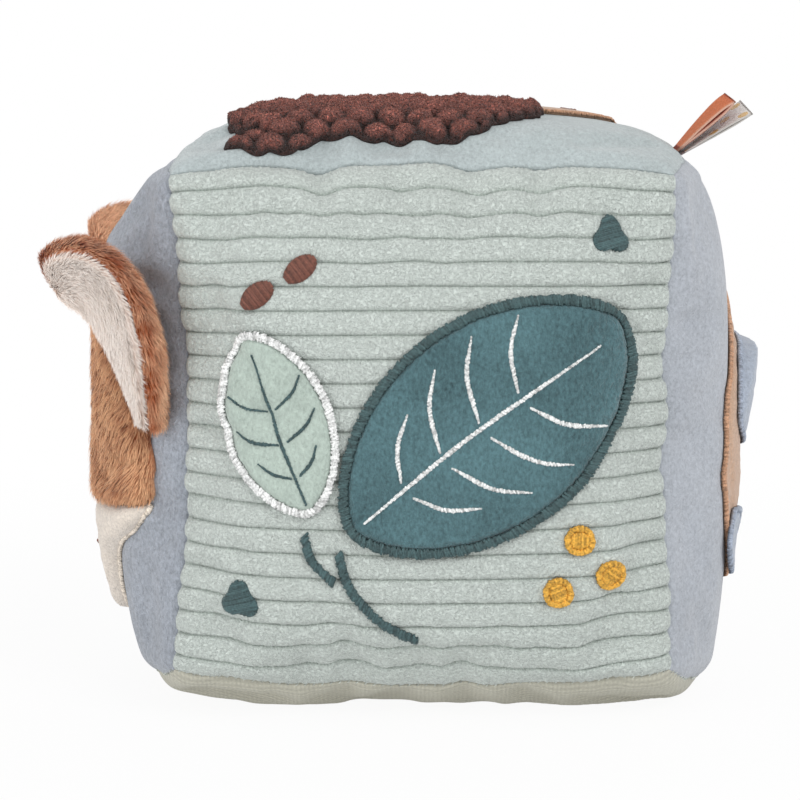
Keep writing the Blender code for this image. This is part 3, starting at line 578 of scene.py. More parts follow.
def knit(name, colour, rows_per_metre=760):
    """A fine jersey knit, whose rows of loops run from side to side."""
    fabric = Fabric(name, sheen=0.2)
    row = (fabric.along("Y") * (rows_per_metre * 2 * math.pi)).sine() * 0.5 + 0.5
    loops = (fabric.along("X") * (rows_per_metre * 2.4 * math.pi)).sine() * 0.5 + 0.5
    fuzz = fabric.grain(1500, 3, 0.7)
    shade = 0.86 + row * 0.1 + row * loops * 0.14 + (fuzz - 0.5) * 0.6
    relief = row * 0.45 + loops * 0.2 + fuzz * 0.35
    return fabric.finish(fabric.shaded(linear(colour), shade), 0.9, relief, 0.35 * MM)


SLATE = "#A3A9B3"
LAVENDER = "#B1B6BE"
AQUA = "#B5BFC0"
OATMEAL = "#CFC6B8"
SAGE = "#C2C0B2"
panels = (
    ("back", "oatmeal_plush", plush("oatmeal_plush", OATMEAL, (1, 1, 0.22))),
    ("left", "slate_plush", plush("slate_plush", SLATE, (1, 0.45, 0.6), depth=0.8 * MM, fuzz=1.4)),
    ("right", "lavender_plush", plush("lavender_plush", LAVENDER, (1, 0.45, 0.8))),
    ("top", "aqua_plush", plush("aqua_plush", AQUA, (1, 0.35, 1))),
    ("bottom", "sage_knit", knit("sage_knit", SAGE)),
)


def rested(face, u, v):
    """Points of the cover as the block stands: none lies below the floor."""
    point = cover(face, u, v)
    point[..., Z] = np.maximum(point[..., Z], 0)
    return point


lines = crowded(PANEL_CELLS)
for face, slot, paint in panels:
    panel = panel_piece(face, lines, lines, rested)
    finished(panel, paint, stands_for=(f"{face}_panel",))

# Front. The front panel is jumbo corduroy: plump ribs of cut pile that run from side to side, with a thin
# line of ground cloth between them, painted dark as its own colour and as painted shade in the grooves. The
# side seams gather each rib's end into a round.
RIB_PITCH = 5.8 * MM
RIBS = round(EDGE / RIB_PITCH)
RIB_ROWS = 12
RIB_CELLS = 350
RIB_DEPTH = 0.85 * MM
RIB_CROWN = 0.35 * MM
RIB_END = 0.9 * MM
RIB_END_REACH = 1.4 * MM
PILE_LUMP = 0.3 * MM
PILE_LUMPS_PER_METRE = 850
MINT = "#C9D1CC"
GROUND_AND_GROOVE_SHADE = "#A3AFA6"


def rib_share(v):
    """Where a height on the front lies in its rib: -1 and 1 in the grooves, 0 on the crown."""
    place = (v + 1) / 2 * RIBS
    return (place - np.floor(place + 1e-6)) * 2 - 1


def store(thing, name, values):
    """Gives the first corners of a mesh a number or a vector each, under a name. Any others get 0."""
    rows = np.zeros((len(thing.data.vertices), *np.shape(values)[1:]), np.float32)
    rows[: len(values)] = values
    kind, key = ("FLOAT", "value") if rows.ndim == 1 else ("FLOAT_VECTOR", "vector")
    thing.data.attributes.new(name, kind, "POINT").data.foreach_set(key, rows.ravel())


def corduroy(face, u, v):
    """The front's points with their ribs."""
    out = out_of_cover(face, np.clip(u, -0.999, 0.999), v)
    share = np.abs(rib_share(v))
    height = RIB_CROWN * (1 - share**2) - RIB_DEPTH * share**10
    away = HALF * (1 - np.abs(u))
    near_end = np.clip(away / RIB_END_REACH, 0, 1)
    rounded = away / RIB_END_REACH * np.exp(1 - away / RIB_END_REACH)
    point = cover(face, u, v)
    point[..., X] += np.sign(u) * RIB_END * rounded * (1 - share**3)
    lumps = np.array([
        noise.fractal(Vector(spot) * PILE_LUMPS_PER_METRE, 0.8, 2, 2) for spot in point.reshape(-1, 3)
    ]).reshape(u.shape)
    return point + out * ((height + PILE_LUMP * lumps) * near_end)[..., None]


rib_steps = (1 - np.cos(np.linspace(0, math.pi, RIB_ROWS + 1))) / 2
rib_lines = [(rib + step) / RIBS * 2 - 1 for rib in range(RIBS) for step in rib_steps[:-1]] + [1.0]
front = panel_piece("front", crowded(RIB_CELLS), np.array(rib_lines), corduroy)
store(front, "groove", np.tile(np.abs(rib_share(np.array(rib_lines))) ** 8, RIB_CELLS + 1))

fabric = Fabric("mint_cord", sheen=0.45)
fibres = fabric.grain(1500, 3, 0.65)
worms = ((fabric.grain(1350, 2, 0.5, curl=1) - 0.36) * 4).limited()
patches = fabric.grain(45, 2)
ticks = (fabric.along("X") * 7000).sine()
# The grooves' ground cloth: its own colour and painted shade, darkest at the bottom of each groove.
groove_cloth_and_shade = (fabric.attribute("groove") * (1 + ticks * 0.4)).limited()
shade = 0.88 + (fibres - 0.5) * 0.8 + worms * 0.18 + (patches - 0.5) * 0.12
cord_colour = fabric.loom.mixed(groove_cloth_and_shade * 0.6, fabric.shaded(linear(MINT), shade), linear(GROUND_AND_GROOVE_SHADE))
mint_cord = fabric.finish(cord_colour, 0.9, fibres * 0.4 + worms * 0.6, 0.4 * MM)
finished(front, mint_cord, stands_for=("front_panel",))

# Stitches. Every sewn line on the block is real thread: satin stitch round the leaves, filled shapes, running
# stitch along the seams. Each stitch is one short bowed length of thread, set by its place and direction.
THREAD_PITCH = 0.42 * MM
SATIN_WIDTH_SHARE, FILL_WIDTH_SHARE = 1.3, 1.25
STITCH_SECTION = 5
STITCH_STATION_SHARES = ((-0.5, -0.55), (-0.4, 0.05), (-0.15, 0.3), (0.15, 0.3), (0.4, 0.05), (0.5, -0.55))


def stitch_shape():
    """One stitch of unit size: a bowed round thread whose ends go down into the cloth."""
    bm = bmesh.new()
    rings = []
    for along, lift in STITCH_STATION_SHARES:
        ring = []
        for number in range(STITCH_SECTION):
            turn = 2 * math.pi * number / STITCH_SECTION
            ring.append(bm.verts.new((along, 0.5 * math.cos(turn), lift + 0.5 * math.sin(turn))))
        rings.append(ring)
    for first, second in zip(rings, rings[1:]):
        for number in range(STITCH_SECTION):
            after = (number + 1) % STITCH_SECTION
            bm.faces.new((first[number], second[number], second[after], first[after]))
    bm.faces.new(rings[0])
    bm.faces.new(rings[-1][::-1])
    bmesh.ops.recalc_face_normals(bm, faces=bm.faces[:])
    return from_bmesh("stitch", bm)


class Growing(Loom):
    """A Geometry Nodes tree with named inputs, which sets one shape at many places on an object."""

    def __init__(self, name, inputs):
        super().__init__(bpy.data.node_groups.new(name, "GeometryNodeTree"))
        self.tree.is_modifier = True
        for key, kind in (("Source", "Geometry"), *inputs, ("Material", "Material")):
            self.tree.interface.new_socket(key, in_out="INPUT", socket_type="NodeSocket" + kind)
        self.tree.interface.new_socket("Result", in_out="OUTPUT", socket_type="NodeSocketGeometry")

    def given(self, name):
        return self.node("NodeGroupInput", {}, {}, out=name)

    def carried(self, name, kind="FLOAT_VECTOR"):
        """What the source's corners carry under a name."""
        return self.node("GeometryNodeInputNamedAttribute", {"data_type": kind}, {"Name": name})

    def set_on(self, points, shape, along, out, scale):
        """Ends the tree with the shape at each point, its X along one direction and its Z towards another."""
        axes = {"primary_axis": "X", "secondary_axis": "Z"}
        turn = self.node("FunctionNodeAxesToRotation", axes, {0: along, 1: out})
        info = self.node("GeometryNodeObjectInfo", {}, {"Object": shape}, out="Geometry")
        sockets = {"Points": points, "Instance": info, "Rotation": turn, "Scale": scale}
        placed = self.node("GeometryNodeInstanceOnPoints", {}, sockets)
        plain = self.node("GeometryNodeRealizeInstances", {}, {"Geometry": placed})
        sockets = {"Geometry": plain, "Material": self.given("Material")}
        self.node("NodeGroupOutput", {}, {"Result": self.node("GeometryNodeSetMaterial", {}, sockets)})
        return self.tree


def sewing_tree(shape):
    """Nodes that set a stitch at each point, turned along the point's own directions and sized by it."""
    loom = Growing("stitches", (("Thickness", "Float"),))
    thick = loom.given("Thickness")
    thicker = loom.node("ShaderNodeCombineXYZ", {}, {"X": 1, "Y": thick, "Z": thick})
    sockets = {0: loom.carried("size"), 1: thicker}
    scale = loom.node("ShaderNodeVectorMath", {"operation": "MULTIPLY"}, sockets)
    return loom.set_on(loom.given("Source"), shape, loom.carried("along"), loom.carried("out"), scale)


def grown_from(source, tree, values):
    """What a node tree makes of an object, as a plain mesh under the object's name. The object goes."""
    modifier = source.modifiers.new("nodes", "NODES")
    modifier.node_group = tree
    for item in tree.interface.items_tree:
        if item.in_out == "INPUT" and item.name in values:
            modifier[item.identifier] = values[item.name]
    graph = bpy.context.evaluated_depsgraph_get()
    mesh = bpy.data.meshes.new_from_object(source.evaluated_get(graph), depsgraph=graph)
    source.modifiers.remove(modifier)
    name = source.name
    bpy.data.objects.remove(source)
    mesh.name = name
    return added(name, mesh)


stitch = stitch_shape()
stitch_tree = sewing_tree(stitch)


def sewn(name, stitches, paint, body="block", thickness=1.0, stands_for=()):
    """A piece made of stitches, each given by its two ends, its outward direction and its width. Some of them
    stand a little higher than the rest, and the higher a stitch stands, the lighter its thread is painted, as
    painted highlight and shade."""
    ends = np.array([(start, end) for start, end, _, _ in stitches])
    outs = np.array([out for _, _, out, _ in stitches])
    wide = np.array([width for _, _, _, width in stitches])
    lift_and_shine = np.random.default_rng(len(ends)).random(len(ends))
    along = ends[:, 1] - ends[:, 0]
    length = np.linalg.norm(along, axis=1)
    source = made(name, ends.mean(axis=1) + outs * (wide * lift_and_shine * 0.3)[:, None], [])
    sizes = np.stack((length, wide, wide), axis=1)
    ways = along / length[:, None]
    for key, values in (("along", ways), ("out", outs), ("size", sizes), ("tone", lift_and_shine)):
        store(source, key, values)
    thing = grown_from(source, stitch_tree, {"Thickness": thickness, "Material": paint})
    return finished(thing, paint, body=body, stands_for=stands_for)


def thread(name, colour, shine=0.35):
    """Embroidery thread: smooth twisted strands with a soft shine, and painted highlight and shade from stitch
    to stitch.
    """
    fabric = Fabric(name, sheen=0.1, specular=shine)
    twist = fabric.grain(1900, 2, 0.5)
    # Painted highlight and shade: stitches that stand higher are painted lighter, and lower ones darker.
    uneven = (fabric.attribute("tone") - 0.5) * 0.6 + (fabric.grain(160, 2) - 0.5) * 0.2
    shade = 1.05 + (twist - 0.5) * 1.8 + uneven
    return fabric.finish(fabric.shaded(linear(colour), shade), 0.5 + (twist - 0.5) * 0.3, twist, 0.12 * MM)


def face_uv(face, places):
    """The u and v of flat places on a face, which are given in metres on the face's own axes."""
    _, side, a, b, _ = FACES[face]
    places = np.asarray(places, float)
    u, v = places[..., 0] / HALF, places[..., 1] / HALF
    for _ in range(4):
        u = places[..., 0] / (HALF - drawn_in(a, u, b, side) * (1 - v * v))
        v = places[..., 1] / (HALF - drawn_in(b, v, a, side) * (1 - u * u))
    return u, v


def on_cover(face, places, lift=0.0):
    """Flat places laid on the cover, raised by a lift, and the directions straight out of it."""
    u, v = face_uv(face, places)
    out = out_of_cover(face, u, v)
    height = lift(places) if callable(lift) else lift
    return cover(face, u, v) + out * np.asarray(height)[..., None], out


def flat(shares):
    """Places on a face in metres, from shares of the block's half edge."""
    return np.array(shares, float) * HALF


def spline_at(points, shares):
    """Places on the smooth curve through points, by shares from 0 at the first point to 1 at the last."""
    points = np.asarray(points, float)
    longer = np.vstack((points[:1] * 2 - points[1:2], points, points[-1:] * 2 - points[-2:-1]))
    spans = len(points) - 1
    place = np.clip(shares, 0, 1) * spans
    span = np.minimum(place.astype(int), spans - 1)
    t = (place - span)[..., None]
    before, start, end, after = (longer[span + shift] for shift in range(4))
    bend = before * 2 - start * 5 + end * 4 - after
    twist = start * 3 - before - end * 3 + after
    return (start * 2 + (end - before) * t + bend * t * t + twist * t**3) / 2


def curve_through(points, steps, closed=True):
    """A smooth line through points, with so many steps between each two."""
    points = np.asarray(points, float)
    if not closed:
        return spline_at(points, np.linspace(0, 1, (len(points) - 1) * steps + 1))
    ring = np.vstack((points[-1:], points, points[:2]))
    return spline_at(ring, (1 + np.arange(len(points) * steps) / steps) / (len(points) + 2))


def even(line, spacing, closed=True):
    """A line's points set evenly along it."""
    line = np.asarray(line, float)
    if closed:
        line = np.vstack((line, line[:1]))
    steps = np.linalg.norm(np.diff(line, axis=0), axis=1)
    run = np.concatenate(([0], np.cumsum(steps)))
    count = max(3, round(run[-1] / spacing))
    places = np.linspace(0, run[-1], count + 1)
    spread = np.stack([np.interp(places, run, line[:, axis]) for axis in range(line.shape[1])], axis=1)
    return spread[:-1] if closed else spread


def side_of(line, closed=True):
    """The direction square to a flat line at each of its points, to its right."""
    if closed:
        run = np.roll(line, -1, axis=0) - np.roll(line, 1, axis=0)
    else:
        run = np.gradient(line, axis=0)
    run /= np.linalg.norm(run, axis=1, keepdims=True)
    return np.stack((run[:, 1], -run[:, 0]), axis=1)


def satin_row(face, line, widths, lift, slant=0.25, closed=True, seed=1):
    """Satin stitches side by side across a line, each as long as the row is wide there."""
    places = even(line, THREAD_PITCH, closed)
    count = len(places)
    right = side_of(places, closed)
    draw = np.random.default_rng(seed)
    widths = np.atleast_1d(widths)
    widths = np.interp(np.linspace(0, 1, count), np.linspace(0, 1, len(widths)), widths)
    forward = np.stack((-right[:, 1], right[:, 0]), axis=1)
    lean = forward * (widths * slant / 2 * draw.uniform(0.4, 1.6, count))[:, None]
    half = right * (widths / 2)[:, None]
    starts, ends = (
        on_cover(face, places + end * (lean + half * draw.uniform(0.75, 1.25, (count, 1))), lift)[0]
        for end in (-1, 1)
    )
    _, outs = on_cover(face, places)
    return [(*row, THREAD_PITCH * SATIN_WIDTH_SHARE) for row in zip(starts, ends, outs)]


def filled(face, outline, lift, lean):
    """Stitches side by side that fill a flat outline, their rows turned by a lean."""
    turn = np.array(((math.cos(lean), math.sin(lean)), (-math.sin(lean), math.cos(lean))))
    level = outline @ turn.T
    draw = np.random.default_rng(1)
    stitches = []
    rows = np.arange(level[:, 1].min() + THREAD_PITCH / 2, level[:, 1].max(), THREAD_PITCH)
    after = np.roll(level, -1, axis=0)
    for row in rows:
        crossing = (level[:, 1] - row) * (after[:, 1] - row) < 0
        first, second = level[crossing], after[crossing]
        shares = (row - first[:, 1]) / (second[:, 1] - first[:, 1])
        cuts = np.sort(first[:, 0] + shares * (second[:, 0] - first[:, 0]))
        for low, high in zip(cuts[::2], cuts[1::2]):
            if high - low < THREAD_PITCH:
                continue
            grow = draw.uniform(-0.1, 0.25) * THREAD_PITCH
            ends = np.array(((low - grow, row), (high + grow, row))) @ turn
            points, outs = on_cover(face, ends, lift)
            stitches.append((*points, outs.mean(axis=0), THREAD_PITCH * FILL_WIDTH_SHARE))
    return stitches


def embroidered(node, stitches, paint, thickness):
    """The stitches that stand for one of the block's sewn shapes."""
    sewn(node + "_stitches", stitches, paint, thickness=thickness, stands_for=(node,))


# Leaf sprig. The front carries a large teal plush leaf and a small pale one, each edged in satin stitch, with
# stitched veins and stems, and small filled shapes round them.
SEWN_LIFT = 0.4 * MM
EDGE_LEFT = 0.25
EDGE_STEP = 0.6 * MM
LEAF_PLUSH = 1.6 * MM
LEAVES = (
    ("leaf_large", (0.25, 0.02), 84 * MM, 50 * MM, 38, 2.4 * MM, "teal_plush", "green_satin_stitch"),
    ("leaf_small", (-0.55, 0.03), 46 * MM, 25 * MM, 110, 1.9 * MM, "pale_plush", "white_satin_stitch"),
)
LEAF_POINT_SHARE = 0.35
TEAL = "#55757B"
PALE_MINT = "#B4C2B9"
DEEP_GREEN = "#3F5658"
CHALK = "#DCDDDC"
MUSTARD = "#D2A040"
COCOA = "#6B4236"
OUTLINE_POINTS = 96


def oval(shares, length, width, lean=0.0, sharp_share=0.0):
    """An oval outline at a place on a face, or a leaf's with sharp_share above 0."""
    centre = flat(shares)
    turn = np.linspace(0, 2 * math.pi, OUTLINE_POINTS, endpoint=False)
    rise = np.sin(turn)
    along, across = length / 2 * np.cos(turn), width / 2 * rise * np.abs(rise) ** sharp_share
    lean_cos, lean_sin = math.cos(lean), math.sin(lean)
    return np.stack((
        centre[0] + along * lean_cos - across * lean_sin,
        centre[1] + along * lean_sin + across * lean_cos,
    ), axis=1)


def disc(shares, size):
    """A round outline."""
    return oval(shares, size, size)


def inside(points, outline):
    """Which points lie inside a flat outline, and how far each lies from it."""
    after = np.roll(outline, -1, axis=0)
    run = after - outline
    crossed = np.zeros(len(points), bool)
    nearest = np.full(len(points), np.inf)
    for (x, y), (dx, dy), (x2, y2) in zip(outline, run, after):
        spans = (y > points[:, 1]) != (y2 > points[:, 1])
        with np.errstate(divide="ignore", invalid="ignore"):
            cut = (points[:, 1] - y) * dx / dy + x
        crossed ^= spans & (points[:, 0] < cut)
        t = ((points[:, 0] - x) * dx + (points[:, 1] - y) * dy) / (dx * dx + dy * dy)
        t = np.clip(t, 0, 1)
        away = (points[:, 0] - x - t * dx) ** 2 + (points[:, 1] - y - t * dy) ** 2
        nearest = np.minimum(nearest, away)
    return crossed, np.sqrt(nearest)


def cut_cloth(outline, spacing):
    """A flat piece of cloth inside an outline: its points, how far each is from the edge, and triangles."""
    ring = even(outline, spacing)
    low, high = ring.min(axis=0), ring.max(axis=0)
    rows = np.arange(low[1], high[1], spacing * math.sqrt(3) / 2)
    grid = []
    for number, row in enumerate(rows):
        start = low[0] + (number % 2) * spacing / 2
        columns = np.arange(start, high[0], spacing)
        grid.append(np.stack((columns, np.full(len(columns), row)), axis=1))
    grid = np.concatenate(grid)
    within, away = inside(grid, ring)
    kept = within & (away > spacing * 0.55)
    points = np.concatenate((ring, grid[kept]))
    edge = np.concatenate((np.zeros(len(ring)), away[kept]))
    return points, edge, triangles_in(ring, grid[kept]), len(ring)


def patch(name, face, outline, spacing, thickness, roll, under=None, rough=None):
    """A closed patch of fabric on a face. thickness gives its height at flat places, roll is the radius that
    its edge turns down with, under is the height of what lies below it, and rough is the height of its lumps
    and how many there are to a metre. Its upper points come first, and the same number below them."""
    points, edge, faces, count = cut_cloth(outline, spacing)
    base = SEWN_LIFT + (under(points) if under else np.zeros(len(points)))
    turned = np.sqrt(1 - (1 - np.clip(edge / roll, 0, 1)) ** 2)
    rise = (EDGE_LEFT + (1 - EDGE_LEFT) * turned) * thickness(points)
    high = base + rise
    if rough:
        height, per_metre = rough
        lumps = [noise.fractal(Vector((*spot, 0)) * per_metre, 0.8, 2, 3) for spot in points]
        high = high + height * np.array(lumps) * turned
    upper, _ = on_cover(face, points, high)
    lower, _ = on_cover(face, points, base - SEWN_LIFT * 0.75)
    first = len(points)
    rim = np.arange(count)
    after = np.roll(rim, -1)
    sides = np.stack((rim, after, after + first, rim + first), axis=-1).tolist()
    if (area_in(outline) > 0) == (outward(face) > 0):
        sides = [corners[::-1] for corners in sides]
    if outward(face) < 0:
        faces = [corners[::-1] for corners in faces]
    under_faces = [[first + corner for corner in corners[::-1]] for corners in faces]
    cloth = made(name, np.concatenate((upper, lower)), [*faces, *under_faces, *sides])
    store(cloth, "rise", rise / rise.max())
    return cloth


def level(height):
    """The same height everywhere."""
    return lambda points: np.full(len(points), height)


def area_in(outline):
    """The area inside a flat outline, below 0 if it runs clockwise."""
    after = np.roll(outline, -1, axis=0)
    return (outline[:, 0] * after[:, 1] - outline[:, 1] * after[:, 0]).sum() / 2


def cut_from_cloth(outline):
    """Measures a patch's outline, its length, width and area, and keeps none of them."""
    centred = outline - outline.mean(axis=0)
    _, _, axes = np.linalg.svd(centred, full_matrices=False)
    length, width = np.ptp(centred @ axes.T, axis=0)
    abs(area_in(outline))


def edged(name, face, outline, width, lift, paint, thickness, inset=0.0, body="block"):
    """A row of satin stitch along a patch's edge, set in from its outline."""
    ring = even(outline, EDGE_STEP)
    row = satin_row(face, ring - side_of(ring) * inset, width, lift)
    sewn(name + "_edging", row, paint, body=body, thickness=thickness)


teal_plush = plush("teal_plush", TEAL, (1, 1, 0.6), mottle=1, depth=0.8 * MM, sheen=0.3, fuzz=1.6)
pale_plush = plush("pale_plush", PALE_MINT, (1, 1, 0.6), mottle=0.25)
green_thread = thread("green_satin_stitch", DEEP_GREEN)
white_thread = thread("white_satin_stitch", CHALK)
mustard_thread = thread("mustard_thread", MUSTARD)
cocoa_thread = thread("cocoa_thread", COCOA)
leaf_paints = {"teal_plush": teal_plush, "pale_plush": pale_plush}
thread_paints = {"green_satin_stitch": green_thread, "white_satin_stitch": white_thread}

for name, shares, length, width, lean, border, cloth, edging in LEAVES:
    outline = oval(shares, length, width, math.radians(lean), sharp_share=LEAF_POINT_SHARE)
    leaf = patch(
        name + "_plush", "front", outline, 1.1 * MM, level(LEAF_PLUSH), 2.5 * MM, rough=(0.2 * MM, 260)
    )
    finished(leaf, leaf_paints[cloth], stands_for=(name,))
    cut_from_cloth(outline)
    ring = even(outline, EDGE_STEP)
    ring = ring + side_of(ring) * (border / 2 - 0.2 * MM)
    for _ in range(8):
        ring = (np.roll(ring, 1, axis=0) + ring + np.roll(ring, -1, axis=0)) / 3
    row = satin_row("front", ring, border, SEWN_LIFT + LEAF_PLUSH * 0.62)
    sewn(name + "_edging", row, thread_paints[edging], thickness=1.2, stands_for=(name + "_border",))

VEIN_WIDTH = 1.1 * MM
VEIN_LIFT = SEWN_LIFT + LEAF_PLUSH * 0.95
MIDRIB_SHARES = ((-0.46, 0), (-0.1, 0.02), (0.2, 0), (0.4, -0.02))
VEINS = (
    (4, 0.11, (0.5, 1, 1, 0.9, 0.35), 1, "white_satin_stitch"),
    (3, 0.1, (0.6, 1, 0.8, 0.4), 0.8, "green_satin_stitch"),
)


def leaf_veins(shares, length, width, lean, pairs, skew):
    """The lines of a leaf's midrib and side veins, on the face's own axes."""
    lean = math.radians(lean)
    turn = np.array(((math.cos(lean), -math.sin(lean)), (math.sin(lean), math.cos(lean))))

    def placed(points):
        return curve_through(np.array(points) @ turn.T + flat(shares), 8, closed=False)

    lines = [placed([(along * length, across * width) for along, across in MIDRIB_SHARES])]
    for number in range(pairs):
        start = (-0.3 + 0.58 * number / pairs) * length
        reach = 0.36 * width * math.sin(math.pi * (0.24 + 0.6 * number / pairs))
        for side in (-1, 1):
            lines.append(placed([
                (start, side * 0.05 * width),
                (start + skew * length * 0.5, side * (0.05 * width + reach * 0.6)),
                (start + skew * length * 1.25, side * (0.05 * width + reach)),
            ]))
    return lines


for (name, *form, _, _, _), (pairs, skew, taper, share, slot) in zip(LEAVES, VEINS):
    veins = []
    widths = np.array(taper) * VEIN_WIDTH * share
    for number, line in enumerate(leaf_veins(*form, pairs, skew)):
        veins += satin_row("front", line, widths, VEIN_LIFT, 0.6, closed=False, seed=number)
    sewn(name + "_veins", veins, thread_paints[slot])

THREAD_LIFT = 0.7 * MM
STEMS = (
    ("stem_large", ((-0.32, -0.47), (-0.28, -0.6), (-0.17, -0.73), (-0.02, -0.82))),
    ("stem_small", ((-0.45, -0.4), (-0.42, -0.5), (-0.34, -0.58))),
)
BERRY_SHARES = ((0.6, -0.42), (0.72, -0.56), (0.52, -0.62))
BERRY_RADIUS, BERRY_RIM = 3.8 * MM, 1.4 * MM
SEED_SHARES = ((-0.62, 0.52), (-0.46, 0.62))
CLOVER_SHARES = ((-0.7, -0.66), (0.72, 0.74))
CLOVER_RADIUS, CLOVER_NOTCH, CLOVER_LOBES, CLOVER_POINTS = 5 * MM, 0.34, 3, 72

for number, (name, shares) in enumerate(STEMS):
    line = curve_through(flat(shares), 10, closed=False)
    row = satin_row("front", line, 2 * MM, THREAD_LIFT, 0.5, closed=False, seed=number)
    embroidered(name, row, green_thread, 1.5)
for number, shares in enumerate(BERRY_SHARES, 1):
    rows = filled("front", disc(shares, 1.3 * BERRY_RADIUS), THREAD_LIFT, 0.5 + number)
    rim = disc(shares, 1.62 * BERRY_RADIUS)
    rows += satin_row("front", rim, BERRY_RIM, THREAD_LIFT + 0.15 * MM, 0.2)
    embroidered(f"berry_{number}", rows, mustard_thread, 1.4)
for number, shares in enumerate(SEED_SHARES, 1):
    seed = oval(shares, 9 * MM, 5.5 * MM, math.radians(38))
    rows = filled("front", seed, THREAD_LIFT, math.radians(128))
    embroidered(f"seed_{number}", rows, cocoa_thread, 1.5)


def clover(shares):
    """A small outline with round lobes."""
    turn = np.linspace(0, 2 * math.pi, CLOVER_POINTS, endpoint=False)
    cut = CLOVER_NOTCH * (1 + np.cos(CLOVER_LOBES * (turn - math.pi / 2) + math.pi)) / 2
    reach = CLOVER_RADIUS * (1 - cut)
    return flat(shares) + np.stack((reach * np.cos(turn), reach * np.sin(turn)), axis=1)


for number, shares in enumerate(CLOVER_SHARES, 1):
    rows = filled("front", clover(shares), THREAD_LIFT, 0.3)
    embroidered(f"clover_{number}", rows, green_thread, 1.5)

# Hedgehog. The picture on the top: a back of bobbled fleece, whose soft bobbles are woven in offset rows, a
# face of tan plush with a narrow edging, and an embroidered nose.
HEDGEHOG_BACK_SHARES = (
    (0.46, -0.44), (0.2, -0.82), (-0.2, -0.83), (-0.4, -0.84), (-0.5, -0.92), (-0.66, -0.93),
    (-0.77, -0.85), (-0.64, -0.71), (-0.76, -0.55), (-0.73, -0.1), (-0.58, 0.32), (-0.28, 0.6), (0.12, 0.58),
    (0.4, 0.34), (0.5, 0.04), (0.42, -0.2),
)
HEDGEHOG_FACE_SHARES = (
    (0.51, 0.18), (0.43, 0.36), (0.26, 0.55), (0.32, 0.7), (0.52, 0.74), (0.68, 0.75), (0.81, 0.735),
    (0.845, 0.66), (0.76, 0.44), (0.66, 0.27),
)
HEDGEHOG_NOSE_SHARES, HEDGEHOG_NOSE = (0.88, 0.7), 6.8 * MM
HEDGEHOG_EYE_SHARES, HEDGEHOG_EYE = (0.62, 0.5), 4.2 * MM
BOBBLE_PITCH, BOBBLE_ROW = 7.6 * MM, 6.6 * MM
BOBBLE_SHIFT, BOBBLE_RISE = 0.4 * MM, 3.6 * MM
BOBBLE_REACH_SHARE = 0.52
FLEECE_BASE = 0.2 * MM
FLEECE_STEP = 0.5 * MM
FLEECE_CURL = (0.6 * MM, 900)
SCALLOP = 1.3 * MM
UMBER = "#AE675A"
UMBER_CREASE_SHADE = "#42251F"
TAN = "#C9A68C"

draw = np.random.default_rng(11)
bobbles = np.array([
    (across + row % 2 * BOBBLE_PITCH / 2, up)
    for row, up in enumerate(np.arange(-HALF, HALF, BOBBLE_ROW))
    for across in np.arange(-HALF, HALF, BOBBLE_PITCH)
])
bobbles += draw.uniform(-1, 1, bobbles.shape) * BOBBLE_SHIFT
bobble_sizes = draw.uniform(0.7, 1.1, len(bobbles))


def bobbled(points):
    """The fleece's thickness: a round mound over each bobble, with a sharp crease between them."""
    away = np.linalg.norm(points[:, None] - bobbles[None], axis=2)
    nearest = away.argmin(axis=1)
    share = away.min(axis=1) / (BOBBLE_PITCH * BOBBLE_REACH_SHARE)
    mound = np.sqrt(np.clip(1 - share**2, 0, 1))
    return FLEECE_BASE + BOBBLE_RISE * mound * bobble_sizes[nearest]


fabric = Fabric("bobble_fleece", sheen=0.15)
curls = ((fabric.grain(1300, 2, 0.5, curl=1.5) - 0.5) * 3 + 0.5).limited()
# Painted shade: the fleece is painted darker low between the bobbles, where shade falls in the creases.
crease_shade = (fabric.attribute("rise") * 1.9 - 0.5).limited()
umber_with_crease_shade = fabric.loom.mixed(crease_shade, linear(UMBER_CREASE_SHADE), linear(UMBER))
shade = 1.04 + (curls - 0.5) * 1.7 + (fabric.grain(90, 2) - 0.5) * 0.25
fleece_paint = fabric.finish(fabric.shaded(umber_with_crease_shade, shade), 0.9, curls, 1.3 * MM)
outline = even(curve_through(flat(HEDGEHOG_BACK_SHARES), 6), FLEECE_STEP)
lobes = round(len(outline) * FLEECE_STEP / BOBBLE_PITCH)
scallops = np.abs(np.sin(np.arange(len(outline)) * (lobes * math.pi / len(outline))))
outline = outline - side_of(outline) * ((scallops - 0.6) * SCALLOP)[:, None]
fleece = patch("hedgehog_fleece", "top", outline, FLEECE_STEP, bobbled, 2.2 * MM, rough=FLEECE_CURL)
finished(fleece, fleece_paint, stands_for=("hedgehog_back",))

tan_plush = plush("tan_plush", TAN, mottle=0.2)
tan_thread = thread("tan_thread", "#B98F72")
outline = curve_through(flat(HEDGEHOG_FACE_SHARES), 6)
cheek = patch("hedgehog_cheek", "top", outline, 1.1 * MM, level(1.2 * MM), 2 * MM)
finished(cheek, tan_plush, stands_for=("hedgehog_face",))
cut_from_cloth(outline)
edged("hedgehog_cheek", "top", outline, 1.2 * MM, SEWN_LIFT + 0.6 * MM, tan_thread, 1.1)
rows = filled("top", disc(HEDGEHOG_NOSE_SHARES, HEDGEHOG_NOSE), THREAD_LIFT, 0.4)
embroidered("hedgehog_nose", rows, cocoa_thread, 1.2)
rows = filled("top", disc(HEDGEHOG_EYE_SHARES, HEDGEHOG_EYE), SEWN_LIFT + 1 * MM, 1.2)
sewn("hedgehog_eye_stitches", rows, cocoa_thread, thickness=1.1)

# Pile. Fur and fuzz are single fibres that grow from a skin: each is a short tapered blade that leans the way
# the skin is combed there. The same tree grows all of them, with its own length and thickness for each.
BLADE_STATION_SHARES = ((0, 0, 1), (0.3, 0.13, 0.9), (0.68, 0.17, 0.6))
BLADE_POINT_SHARES = (1, 0, 0.1)
REACH_LEAST = 0.05
FUZZ_FROM = 0.4


